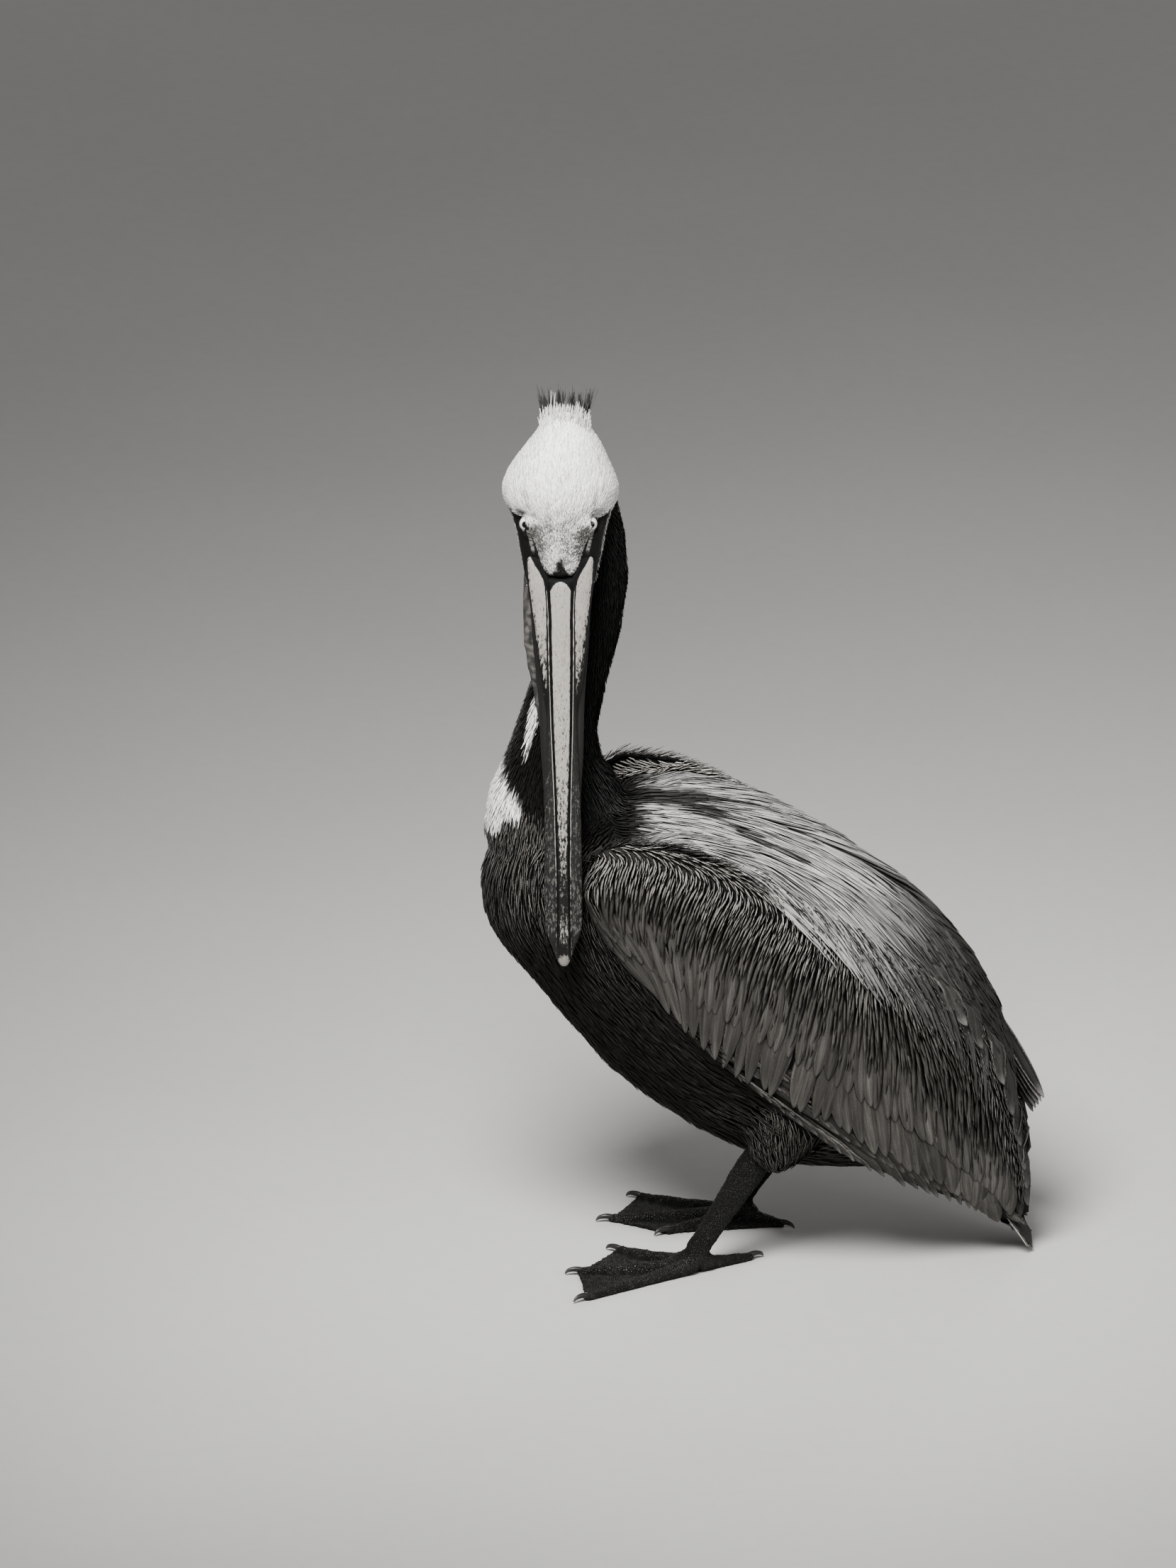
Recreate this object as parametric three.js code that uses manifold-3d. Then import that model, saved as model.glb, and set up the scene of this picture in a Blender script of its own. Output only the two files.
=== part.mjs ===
// A brown pelican at life size, standing with its head turned to its left and its bill resting
// in front of its breast. Millimetres, +Z up. The bird faces -Y and its left side is +X.
// The floor is z = 0, and the finished group is centred on its bounding box in X and Y.
import * as THREE from "three";
import { mergeVertices } from "three/addons/utils/BufferGeometryUtils.js";
import Module from "manifold-3d";

const wasm = await Module();
wasm.setup();

// ---- Driving dimensions ---------------------------------------------------------------
const GAP = 0.3; // the thin cut between touching pieces
const BILL_LENGTH = 323; // from the feathers of the forehead to the tip of the nail
const BILL_LEAN = 10; // degrees that the bill points away from straight down, towards +X
const BILL_DRIFT = 3; // how far the bill's tip hangs to the head's left of its base
const HEAD_LENGTH = 150; // from the bill's base to the crest's roots
const CROWN_TILT = 6; // how far the crown leans to the head's left
const EYE_RADIUS = 6.5;
const EYE_SPREAD = 54; // between the two eyes' centres
const EYE_UP = 50; // the eyes' height above the bill's base, measured up the head
const EYE_OUT = 5; // how far they stand out of the head's middle line, towards its front
const HEAD_Y = -123; // the head's middle plane, with the head turned to face +X
const TARSUS_RADIUS = 9;
const FOOT_HALF_GAUGE = 60; // each foot's distance from the body's middle plane
const WEB_THICKNESS = 2.2;
const WEB_CLEARANCE = 0.8; // the webs lie just above the toes' flat undersides
const WEB_REACH = 0.97; // the share of each toe that the webs reach along
const WEB_SCALLOP = 0.06; // how far a web's edge curves in between two toes
const RIGHT_WING_RAISE = [16, -8]; // the right wing's height over the left's, at wrist and tip

const SIDES = { left: 1, right: -1 };

// ---- Small helpers --------------------------------------------------------------------
const vec = (x, y, z) => new THREE.Vector3(x, y, z);
const radians = THREE.MathUtils.degToRad;
const lerp = THREE.MathUtils.lerp;

// The head's own axes: down the bill, and out of the bill's upper face.
const DOWN_BILL = vec(Math.sin(radians(BILL_LEAN)), 0, -Math.cos(radians(BILL_LEAN)));
const BILL_TOP = vec(-DOWN_BILL.z, 0, DOWN_BILL.x);
const BILL_BASE = vec(48, HEAD_Y, 606); // where the bill's cutting edges meet the face

// A point in the head's own terms: along the bill from its base (minus is up the head),
// out of the bill's upper face, and sideways to the head's left.
function headPoint(along, out, side = 0) {
  return BILL_BASE.clone()
    .addScaledVector(DOWN_BILL, along)
    .addScaledVector(BILL_TOP, out)
    .add(vec(0, side, 0));
}

// 1 along the middle of a limb, falling to 0 in a round end over each end's share of it.
function roundEnds(s, startShare, endShare) {
  const near = Math.min(s / startShare, (1 - s) / endShare, 1);
  return Math.sqrt(Math.max(0, 1 - (1 - near) ** 2));
}

// A closed body swept through stations {at, wide, tall}: a sphere's rows become its rings.
// wide is the half width along the across vector, and tall the half height square to it.
// square is the superellipse power of a ring's upper half, flat scales its lower half's
// height, and pear widens its lower half. grow makes a cutter a little larger all round.
function sweptBody(stations, options = {}) {
  const { across = vec(1, 0, 0), around = 16, along = 14, square = 2, flat = 1,
    pear = 0, caps = [0.08, 0.08], grow = 0 } = options;
  const path = new THREE.CatmullRomCurve3(stations.map((s) => s.at), false, "centripetal");
  const size = new THREE.CatmullRomCurve3(
    stations.map((s) => vec(s.wide, s.tall, 0)), false, "catmullrom", 0.5);
  const geometry = new THREE.SphereGeometry(1, around, along);
  const position = geometry.getAttribute("position");
  for (let i = 0; i < position.count; i++) {
    const row = Math.floor(i / (around + 1));
    const column = (i % (around + 1)) % around;
    const s = (1 - Math.cos((row / along) * Math.PI)) / 2;
    const angle = (column / around) * 2 * Math.PI;
    const pole = row === 0 || row === along;
    const tangent = path.getTangent(THREE.MathUtils.clamp(s, 0.001, 0.999));
    const sideways = across.clone().addScaledVector(tangent, -across.dot(tangent)).normalize();
    const upward = sideways.clone().cross(tangent);
    const power = Math.sin(angle) > 0 ? 2 / square : 1;
    const unitWide = Math.sign(Math.cos(angle)) * Math.abs(Math.cos(angle)) ** power;
    const unitTall = Math.sign(Math.sin(angle)) * Math.abs(Math.sin(angle)) ** power;
    const round = pole ? 0 : roundEnds(s, ...caps);
    const radii = size.getPoint(s).multiplyScalar(round).addScalar(pole ? 0 : grow);
    const endGrow = pole ? Math.sign(row - 1) * grow : 0;
    const place = path.getPoint(s).addScaledVector(tangent, endGrow)
      .addScaledVector(sideways, radii.x * unitWide * (1 - pear * unitTall))
      .addScaledVector(upward, radii.y * unitTall * (unitTall < 0 ? flat : 1));
    position.setXYZ(i, place.x, place.y, place.z);
  }
  return solidOf(geometry);
}

// A closed geometry as a solid for cutting and joining, with its faces turned outwards.
function solidOf(geometry) {
  const bare = geometry.clone();
  bare.deleteAttribute("normal");
  bare.deleteAttribute("uv");
  const merged = mergeVertices(bare, 1e-3);
  const corners = Array.from(merged.index.array);
  const vertProperties = merged.getAttribute("position").array;
  const build = (list) => new wasm.Manifold(
    new wasm.Mesh({ numProp: 3, vertProperties, triVerts: new Uint32Array(list) }));
  const solid = build(corners);
  return solid.volume() > 0 ? solid : build(corners.reverse());
}

// The largest piece left of a solid after its neighbours are cut away.
function cut(solid, ...neighbours) {
  const left = neighbours.reduce((rest, other) => rest.subtract(other), solid);
  return left.decompose().sort((a, b) => b.volume() - a.volume())[0];
}

const above = (solid, height) => solid.trimByPlane([0, 0, 1], height);
const below = (solid, height) => solid.trimByPlane([0, 0, -1], -height);

// ---- Materials ------------------------------------------------------------------------
const finish = (colour, roughness) =>
  new THREE.MeshStandardMaterial({ color: colour, roughness, metalness: 0 });
const MATERIALS = {
  darkPlumage: finish(0x2b2825, 0.8),
  whitePlumage: finish(0xe9e6dd, 0.85),
  silverPlumage: finish(0x8f8c87, 0.7),
  greyPlumage: finish(0x5d5954, 0.7),
  horn: finish(0xb9b2a6, 0.45),
  pouchSkin: finish(0x6b6660, 0.6),
  legSkin: finish(0x262423, 0.55),
  claw: finish(0x3a3632, 0.4),
  eye: finish(0xd9d6cc, 0.15),
};

const bird = new THREE.Group();

function addPiece(name, solid, material) {
  const mesh = solid.getMesh();
  const points = new Float32Array(mesh.numVert * 3);
  for (let i = 0; i < mesh.numVert; i++) {
    points.set(mesh.vertProperties.subarray(i * mesh.numProp, i * mesh.numProp + 3), i * 3);
  }
  const geometry = new THREE.BufferGeometry();
  geometry.setAttribute("position", new THREE.BufferAttribute(points, 3));
  geometry.setIndex(new THREE.BufferAttribute(mesh.triVerts, 1));
  geometry.computeVertexNormals();
  const piece = new THREE.Mesh(geometry, material);
  piece.name = name;
  bird.add(piece);
}

// ---- Trunk: breast, belly, flanks and back down to the root of the tail -----------------
function trunkSolid(grow = 0) {
  const station = (y, z, wide, tall) => ({ at: vec(0, y, z), wide, tall });
  return sweptBody([
    station(-188, 341, 54, 52),
    station(-151, 331, 70, 65),
    station(-102, 315, 85, 94),
    station(-55, 294, 94, 114),
    station(-10, 268, 99, 129),
    station(38, 240, 100, 136),
    station(80, 215, 96, 136),
    station(118, 190, 87, 130),
    station(155, 165, 71, 113),
    station(188, 138, 52, 88),
    station(215, 110, 32, 56),
    station(236, 82, 16, 26),
  ], { around: 22, along: 20, square: 2.6, caps: [0.1, 0.06], grow });
}

// ---- Neck and head ---------------------------------------------------------------------
const NECK_CUTS = [455, 560]; // heights where the neck is divided into three lengths

function neckSolid(grow = 0) {
  const station = (x, y, z, wide, tall) => ({ at: vec(x, y, z), wide, tall });
  return sweptBody([
    station(0, -124, 326, 64, 62),
    station(0, -126, 384, 61, 55),
    station(0, -128, 412, 54, 47),
    station(0, -129, 442, 38, 36),
    station(-8, -120, 484, 31, 30),
    station(-18, -106, 530, 30, 29),
    station(-25, -97, 574, 30, 29),
    station(-24, -99, 619, 30, 30),
    station(-10, -109, 662, 30, 32),
    station(8, -118, 696, 24, 28),
  ], { across: vec(0, 1, 0), around: 16, along: 16, grow });
}

function headSolid(grow = 0) {
  const station = (up, out, wide, tall) => (
    { at: headPoint(-up, out, CROWN_TILT * Math.max(0, up / HEAD_LENGTH - 0.5)), wide, tall });
  return sweptBody([
    station(-14, -9, 27.5, 12),
    station(8, -11, 30.5, 19),
    station(30, -12, 34.5, 26),
    station(50, -13, 38.5, 32),
    station(64, -13, 47, 36),
    station(78, -13, 50, 39),
    station(94, -14, 45, 40),
    station(110, -16, 37, 37),
    station(126, -20, 28, 30),
    station(135, -24, 22.5, 21),
    station(HEAD_LENGTH - 9, -28, 15.5, 11),
  ], { across: vec(0, 1, 0), around: 18, along: 18, caps: [0.05, 0.07], pear: 0.08, grow });
}

function crestSolid() {
  const station = (up, out, wide, tall) => (
    { at: headPoint(-up, out, CROWN_TILT), wide, tall });
  return sweptBody([
    station(HEAD_LENGTH - 24, -30, 19, 12),
    station(HEAD_LENGTH - 4, -34, 22, 7),
    station(HEAD_LENGTH + 14, -37, 17, 3),
  ], { across: vec(0, 1, 0), around: 10, along: 6, caps: [0.2, 0.3] });
}

function eyeSolid(side, grow = 0) {
  const place = headPoint(-EYE_UP, EYE_OUT, (side * EYE_SPREAD) / 2);
  const ball = new THREE.SphereGeometry(EYE_RADIUS + grow, 10, 7);
  ball.translate(place.x, place.y, place.z);
  return solidOf(ball);
}

// ---- Bill --------------------------------------------------------------------------------
// A station of the bill: its share of the bill's length, and how far it sits out of the
// plane of the cutting edges.
const billStation = (share, out, wide, tall) => (
  { at: headPoint(share * BILL_LENGTH, out, share * BILL_DRIFT), wide, tall });

function upperBillSolid(grow = 0) {
  return sweptBody([
    billStation(-0.06, 1, 27.6, 9),
    billStation(0.1, 0.5, 23.8, 8.5),
    billStation(0.19, 0, 20.8, 7.5),
    billStation(0.27, 0, 16.8, 6.5),
    billStation(0.34, 0, 12.5, 6),
    billStation(0.44, 0, 13, 5.5),
    billStation(0.54, 0, 14.4, 5),
    billStation(0.66, 0, 15.4, 4.8),
    billStation(0.8, 0, 15.6, 4.8),
    billStation(0.9, -0.5, 13.8, 4.8),
    billStation(0.955, -2.5, 8.6, 4.6),
    billStation(1.0, -8, 4.4, 3.6),
  ], { across: vec(0, -1, 0), around: 12, along: 22, caps: [0.03, 0.02], flat: 0.35, grow });
}

function lowerBillSolid(grow = 0) {
  return sweptBody([
    billStation(-0.05, -7.5, 26, 6.5),
    billStation(0.12, -7, 24, 6),
    billStation(0.22, -6.4, 21.5, 5.4),
    billStation(0.32, -5.7, 18.8, 4.9),
    billStation(0.44, -5.1, 17.6, 4.5),
    billStation(0.56, -4.8, 15.4, 4.2),
    billStation(0.78, -4.7, 14, 3.9),
    billStation(0.9, -5.2, 10, 3.6),
    billStation(0.955, -7, 5, 2.7),
  ], { across: vec(0, -1, 0), around: 10, along: 15, caps: [0.03, 0.04], grow });
}

function pouchSolid() {
  const station = (along, out, side, wide, tall) => (
    { at: headPoint(along, out, side), wide, tall });
  return sweptBody([
    station(-34, -34, 0, 26, 18),
    station(-8, -30, -2, 28, 18),
    station(25, -25, -4, 28, 14),
    station(60, -19.5, -4, 26.5, 10),
    station(95, -15, -2, 21.5, 7),
    station(140, -11.5, 0, 16.5, 4),
    station(215, -10, 1.5, 12, 2.4),
    station(270, -9.5, 2, 8, 1.8),
  ], { across: vec(0, -1, 0), around: 10, along: 11, caps: [0.08, 0.05] });
}

// ---- Wings: a folded wing is a padded slab from the forearm's ridge to its lower edge -----
// Each row is x, y and z, from the wrist to the tip of the folded flight feathers.
const WING_RIDGE = [[90, -104, 352], [101, -96, 373], [109, -78, 388], [115, -24, 384],
  [115, 29, 362], [111, 88, 328], [98, 147, 292], [74, 206, 245], [45, 246, 183],
  [29, 263, 117], [20, 270, 64], [16, 270, 32]];
const WING_HEM = [[88, -104, 344], [88, -95, 318], [91, -73, 281], [95, -39, 243],
  [98, -5, 210], [98, 35, 176], [94, 74, 143], [85, 114, 110], [71, 153, 84],
  [54, 194, 62], [38, 226, 44], [24, 246, 26]];
const WING_BULGE = 13; // how far the coverts swell between the ridge and the hem
const WING_DEPTH = [44, 12]; // the slab's thickness at the wrist and at the tip
const WING_ROWS = 15;
const WING_COLUMNS = 6;
const RIDGE_ROLL = 11; // how far the ridge rolls inwards at its very top
const RIDGE_SHARE = 0.2; // the share of the slab's height that rolls
const RIDGE_RISE = 8; // how far the rolled ridge stands above the ridge line

function wingSolid(side, grow = 0) {
  const curve = (points) => new THREE.CatmullRomCurve3(points.map((p) => vec(...p)),
    false, "centripetal");
  const ridge = curve(WING_RIDGE);
  const hem = curve(WING_HEM);
  const slab = new THREE.BoxGeometry(1, 1, 1, 1, WING_ROWS, WING_COLUMNS);
  const position = slab.getAttribute("position");
  for (let i = 0; i < position.count; i++) {
    const along = position.getY(i) + 0.5;
    const down = position.getZ(i) + 0.5;
    const outer = position.getX(i) > 0;
    const place = ridge.getPoint(along).lerp(hem.getPoint(along), down);
    const roll = Math.max(0, 1 - down / RIDGE_SHARE);
    const taper = 1 - along ** 3;
    place.x += WING_BULGE * Math.sin(Math.PI * down) * (1 - 0.6 * along);
    place.x -= RIDGE_ROLL * (1 - Math.sqrt(1 - roll ** 2)) * taper;
    place.z += RIDGE_RISE * roll * taper;
    const swell = 0.3 + 0.7 * Math.sin(Math.PI * Math.max(down, 0.06));
    if (!outer) place.x = Math.max(place.x - lerp(...WING_DEPTH, along) * swell, 5);
    place.x += outer ? grow : -grow;
    if (side < 0) place.z += lerp(...RIGHT_WING_RAISE, along);
    position.setXYZ(i, place.x * side, place.y, place.z);
  }
  return solidOf(slab);
}

// The scapulars: the long shoulder feathers that fill the hollow between back and wing.
function scapularSolid(side, grow = 0) {
  const station = (x, y, z, wide, tall) => ({ at: vec(side * x, y, z), wide, tall });
  return sweptBody([
    station(76, -88, 362, 20, 16),
    station(76, -50, 370, 34, 24),
    station(70, 8, 359, 42, 28),
    station(62, 70, 335, 42, 28),
    station(53, 125, 303, 38, 26),
    station(40, 180, 254, 31, 22),
    station(27, 222, 192, 21, 15),
    station(18, 248, 138, 12, 8),
  ], { around: 12, along: 10, caps: [0.12, 0.1], grow });
}

// The innermost flight feathers of the right wing, whose points stand out behind the back.
function tertialSolid() {
  const station = (x, y, z, wide, tall) => ({ at: vec(-x, y, z), wide, tall });
  return sweptBody([
    station(38, 214, 228, 12, 7),
    station(31, 241, 188, 12, 7),
    station(25, 263, 149, 9, 5),
    station(20, 279, 119, 3, 2),
  ], { around: 8, along: 7, caps: [0.2, 0.1] });
}

// ---- Tail ----------------------------------------------------------------------------------
function tailSolid(grow = 0) {
  const station = (y, z, wide, tall) => ({ at: vec(0, y, z), wide, tall });
  return above(sweptBody([
    station(190, 112, 26, 20),
    station(222, 78, 30, 13),
    station(246, 44, 30, 8),
    station(263, 18, 27, 5),
    station(274, 1, 22, 3),
  ], { around: 12, along: 8, caps: [0.15, 0.04], grow }), 0);
}

// ---- Legs and webbed feet ---------------------------------------------------------------------
// Each toe: degrees turned outwards from straight ahead, and its length to the claw.
const toeSet = (outer, middle, inner, hind) => ({ outer, middle, inner, hind });
const FEET = {
  left: {
    joint: vec(FOOT_HALF_GAUGE, -9, 20),
    ankle: vec(50, 37, 91),
    toes: toeSet({ turn: 35.57, length: 117 }, { turn: 5, length: 101 },
      { turn: -32, length: 80 }, { turn: -150, length: 54 }),
  },
  right: {
    joint: vec(-FOOT_HALF_GAUGE, 28, 20),
    ankle: vec(-50, 72, 91),
    toes: toeSet({ turn: 27, length: 98 }, { turn: -4, length: 112 },
      { turn: -30, length: 74 }, { turn: -150, length: 42 }),
  },
};
const TOE_SINK = 0.6; // how much of a toe's round underside is flattened by the floor
const CLAW_LENGTH = 13;

function toeDirection(side, toe) {
  const turn = radians(toe.turn);
  return vec(side * Math.sin(turn), -Math.cos(turn), 0);
}

function toePoint(side, foot, toe, reach, up = 0) {
  return vec(foot.joint.x, foot.joint.y, up).addScaledVector(toeDirection(side, toe), reach);
}

function toeSolid(side, foot, toe, grow = 0) {
  const heading = toeDirection(side, toe);
  const station = (share, wide, tall) => (
    { at: toePoint(side, foot, toe, toe.length * share, tall - TOE_SINK), wide, tall });
  return sweptBody([
    station(0, 9, 9),
    station(0.2, 6.2, 6.4),
    station(0.45, 4.7, 5.1),
    station(0.75, 3.9, 4.2),
    station(1, 3.4, 3.5),
  ], { across: vec(-heading.y, heading.x, 0), around: 8, along: 5, caps: [0.1, 0.06], grow });
}

function webSolid(side, foot) {
  const heart = toePoint(side, foot, foot.toes.middle, 0);
  const tips = Object.values(foot.toes)
    .map((toe) => toePoint(side, foot, toe, toe.length * WEB_REACH));
  const outline = new THREE.Shape();
  outline.moveTo(heart.x, heart.y);
  outline.lineTo(tips[0].x, tips[0].y);
  for (let i = 1; i < tips.length; i++) {
    const between = tips[i - 1].clone().add(tips[i]).multiplyScalar(0.5)
      .lerp(heart, WEB_SCALLOP);
    outline.quadraticCurveTo(between.x, between.y, tips[i].x, tips[i].y);
  }
  outline.closePath();
  const web = new THREE.ExtrudeGeometry(outline,
    { depth: WEB_THICKNESS, bevelEnabled: false, curveSegments: 3 });
  web.translate(0, 0, WEB_CLEARANCE);
  return solidOf(web);
}

function clawSolid(side, foot, toe, grow = 0) {
  const heading = toeDirection(side, toe);
  const station = (share, up, wide, tall) => (
    { at: toePoint(side, foot, toe, toe.length + CLAW_LENGTH * share, up), wide, tall });
  return sweptBody([
    station(-0.4, 4.4, 2.6, 2.8),
    station(0.15, 5.6, 2.3, 2.6),
    station(0.6, 4.6, 1.6, 1.9),
    station(0.8, 1.0, 0.8, 1.0),
  ], { across: vec(-heading.y, heading.x, 0), around: 6, along: 4, caps: [0.1, 0.1], grow });
}

function footSolid(side, foot) {
  const toes = Object.values(foot.toes);
  const whole = toes.reduce((sum, toe) => sum.add(toeSolid(side, foot, toe)),
    webSolid(side, foot));
  return above(cut(whole, ...toes.map((toe) => clawSolid(side, foot, toe, GAP))), 0);
}

function shankSolid(foot) {
  const rise = foot.ankle.clone().sub(foot.joint);
  const station = (share, wide, tall) => (
    { at: foot.joint.clone().addScaledVector(rise, share), wide, tall });
  return sweptBody([
    station(-0.08, TARSUS_RADIUS * 1.1, TARSUS_RADIUS * 1.1),
    station(0.2, TARSUS_RADIUS, TARSUS_RADIUS * 1.05),
    station(0.6, TARSUS_RADIUS * 1.1, TARSUS_RADIUS * 1.25),
    station(0.95, TARSUS_RADIUS * 1.25, TARSUS_RADIUS * 1.45),
    station(1.25, TARSUS_RADIUS * 1.1, TARSUS_RADIUS * 1.2),
  ], { around: 10, along: 8, caps: [0.12, 0.1] });
}

function thighSolid(side, foot, grow = 0) {
  const station = (x, behind, z, wide, tall) => (
    { at: vec(side * x, foot.ankle.y + behind, z), wide, tall });
  return sweptBody([
    station(58, 40, 190, 36, 50),
    station(58, 33, 150, 34, 44),
    station(56, 24, 122, 27, 32),
    station(53, 14, 102, 19, 22),
    station(51, 8, 92, 12, 14),
  ], { around: 12, along: 8, caps: [0.2, 0.1], grow });
}

// ---- Assembly --------------------------------------------------------------------------------
const trunkCutter = trunkSolid(GAP);
const neck = cut(neckSolid(), trunkCutter, headSolid(GAP));

addPiece("trunk", trunkSolid(), MATERIALS.darkPlumage);
addPiece("neck_lower", below(neck, NECK_CUTS[0]), MATERIALS.darkPlumage);
addPiece("neck_middle", below(above(neck, NECK_CUTS[0] + GAP), NECK_CUTS[1]),
  MATERIALS.darkPlumage);
addPiece("neck_upper", above(neck, NECK_CUTS[1] + GAP), MATERIALS.darkPlumage);
addPiece("head", cut(headSolid(), upperBillSolid(GAP), lowerBillSolid(GAP),
  eyeSolid(SIDES.left, GAP), eyeSolid(SIDES.right, GAP)), MATERIALS.whitePlumage);
addPiece("crest", cut(crestSolid(), headSolid(GAP)), MATERIALS.whitePlumage);
addPiece("bill_upper", upperBillSolid(), MATERIALS.horn);
addPiece("bill_lower", cut(lowerBillSolid(), upperBillSolid(GAP)), MATERIALS.horn);
addPiece("pouch", cut(pouchSolid(), lowerBillSolid(GAP), upperBillSolid(GAP), headSolid(GAP),
  neckSolid(GAP), trunkCutter), MATERIALS.pouchSkin);
addPiece("tail", cut(tailSolid(), trunkCutter), MATERIALS.greyPlumage);
addPiece("tertials_right", cut(tertialSolid(), trunkCutter, wingSolid(SIDES.right, GAP),
  scapularSolid(SIDES.right, GAP)), MATERIALS.greyPlumage);

for (const [word, side] of Object.entries(SIDES)) {
  const foot = FEET[word];
  const wingCutter = wingSolid(side, GAP);
  const toeCutters = Object.values(foot.toes).map((toe) => toeSolid(side, foot, toe, GAP));
  addPiece(`eye_${word}`, eyeSolid(side), MATERIALS.eye);
  addPiece(`wing_${word}`, cut(wingSolid(side), trunkCutter, tailSolid(GAP)),
    MATERIALS.greyPlumage);
  addPiece(`scapulars_${word}`, cut(scapularSolid(side), trunkCutter, wingCutter),
    MATERIALS.silverPlumage);
  addPiece(`thigh_${word}`, cut(thighSolid(side, foot), trunkCutter, wingCutter),
    MATERIALS.darkPlumage);
  addPiece(`shank_${word}`, cut(shankSolid(foot), thighSolid(side, foot, GAP), trunkCutter,
    ...toeCutters), MATERIALS.legSkin);
  addPiece(`foot_${word}`, footSolid(side, foot), MATERIALS.legSkin);
  for (const [digit, toe] of Object.entries(foot.toes)) {
    addPiece(`claw_${word}_${digit}`, above(clawSolid(side, foot, toe), 0), MATERIALS.claw);
  }
}

const middle = new THREE.Box3().setFromObject(bird).getCenter(vec(0, 0, 0));
bird.position.set(-middle.x, -middle.y, 0);

export default bird;
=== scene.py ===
"""A brown pelican at rest, life-size: one skin, its coat of feathers, bill, eyes and claws.

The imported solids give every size. Places are worked out in the bird's own millimetres, in which
the bird faces -Y, its left side is +X and the floor is Z = 0, and are then moved to the frame.
"""

from __future__ import annotations

import logging
import math
from collections.abc import Callable
from dataclasses import dataclass, field
from enum import Enum

import bmesh
import bpy
import numpy as np
from mathutils import Matrix, Vector
from mathutils.bvhtree import BVHTree
from mathutils.kdtree import KDTree

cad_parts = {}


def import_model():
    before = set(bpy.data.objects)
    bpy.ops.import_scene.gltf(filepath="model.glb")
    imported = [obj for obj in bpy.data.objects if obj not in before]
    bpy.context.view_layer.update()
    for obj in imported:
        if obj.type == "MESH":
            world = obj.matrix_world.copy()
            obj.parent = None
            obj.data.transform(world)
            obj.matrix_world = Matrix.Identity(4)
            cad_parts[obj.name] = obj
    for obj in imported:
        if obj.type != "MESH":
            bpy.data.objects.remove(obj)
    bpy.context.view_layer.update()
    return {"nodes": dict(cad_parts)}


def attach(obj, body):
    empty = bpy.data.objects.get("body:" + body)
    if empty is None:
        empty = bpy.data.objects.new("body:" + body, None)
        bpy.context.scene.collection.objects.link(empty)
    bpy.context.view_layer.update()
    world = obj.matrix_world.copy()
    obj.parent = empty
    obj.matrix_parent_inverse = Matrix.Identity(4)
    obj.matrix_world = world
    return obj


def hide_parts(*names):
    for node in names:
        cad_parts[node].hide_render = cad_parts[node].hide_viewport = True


log = logging.getLogger("pelican")

MM = 0.001
FRAME_SHIFT = np.array((-8.0949, -44.42, 0.0))  # from the bird's own origin to the frame's, mm
LOOK_DOWN = math.radians(20.0)  # how far the side view of the guide strokes looks down
SEED = 20260

Array = np.ndarray
Colour = tuple[float, float, float]


class Side(Enum):
    """The bird's own left and right, as the sign of X."""

    LEFT = 1
    RIGHT = -1

    @property
    def word(self) -> str:
        """The side's name as the frame's nodes spell it."""
        return self.name.lower()


# ---- Arithmetic shared by the classes -------------------------------------------------------


def to_frame(points: Array) -> Array:
    """Turns the bird's millimetres into the frame's metres."""
    return (np.asarray(points, float) + FRAME_SHIFT) * MM


def to_bird(points: Array) -> Array:
    """Turns the frame's metres into the bird's millimetres."""
    return np.asarray(points, float) / MM - FRAME_SHIFT


def unit(vectors: Array) -> Array:
    """Scales each row to length one."""
    return vectors / np.maximum(np.linalg.norm(vectors, axis=-1, keepdims=True), 1e-9)


def lay_down(heading: Array, normal: Array) -> Array:
    """Turns each direction into the plane across its normal, as a unit row."""
    return unit(heading - normal * (heading * normal).sum(1, keepdims=True))


def seen_height(points: Array) -> Array:
    """The points' height in the guide strokes' side view, which looks down by LOOK_DOWN."""
    return points[:, 2] * math.cos(LOOK_DOWN) - np.abs(points[:, 0]) * math.sin(LOOK_DOWN)


def plant(points: Array) -> KDTree:
    """A tree that finds the nearest of some points."""
    tree = KDTree(len(points))
    for index, point in enumerate(points):
        tree.insert(point, index)
    tree.balance()
    return tree


def ease(low: float | Array, high: float | Array, value: Array) -> Array:
    """A smooth step.

    Args:
        low: where the step is still 0.
        high: where it has become 1, which may be below low.
        value: the values to step.

    Returns:
        A number from 0 to 1 for each value.
    """
    share = np.clip((value - low) / (high - low), 0.0, 1.0)
    return share * share * (3.0 - 2.0 * share)


def mix(first: Array | float, second: Array | float, share: Array) -> Array:
    """Blends two numbers or rows of numbers."""
    return first + (second - first) * share


def table(rows: tuple[tuple[float, float], ...], value: Array) -> Array:
    """Reads a value from a short list of (place, value) pairs."""
    places, values = zip(*rows)
    return np.interp(value, places, values)


def catmull(rows: Array | tuple, where: Array) -> Array:
    """Reads a smooth curve through evenly counted points.

    Args:
        rows: the points, one row each.
        where: shares from 0 to 1 along the curve.

    Returns:
        One row for each share.
    """
    rows = np.asarray(rows, float)
    padded = np.vstack((2 * rows[0] - rows[1], rows, 2 * rows[-1] - rows[-2]))
    place = np.clip(where, 0.0, 1.0) * (len(rows) - 1)
    index = np.minimum(place.astype(int), len(rows) - 2)
    t = (place - index)[..., None]
    p0, p1, p2, p3 = (padded[index + k] for k in range(4))
    return 0.5 * (2 * p1 + (p2 - p0) * t + (2 * p0 - 5 * p1 + 4 * p2 - p3) * t**2
                  + (3 * p1 - p0 - 3 * p2 + p3) * t**3)


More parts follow.
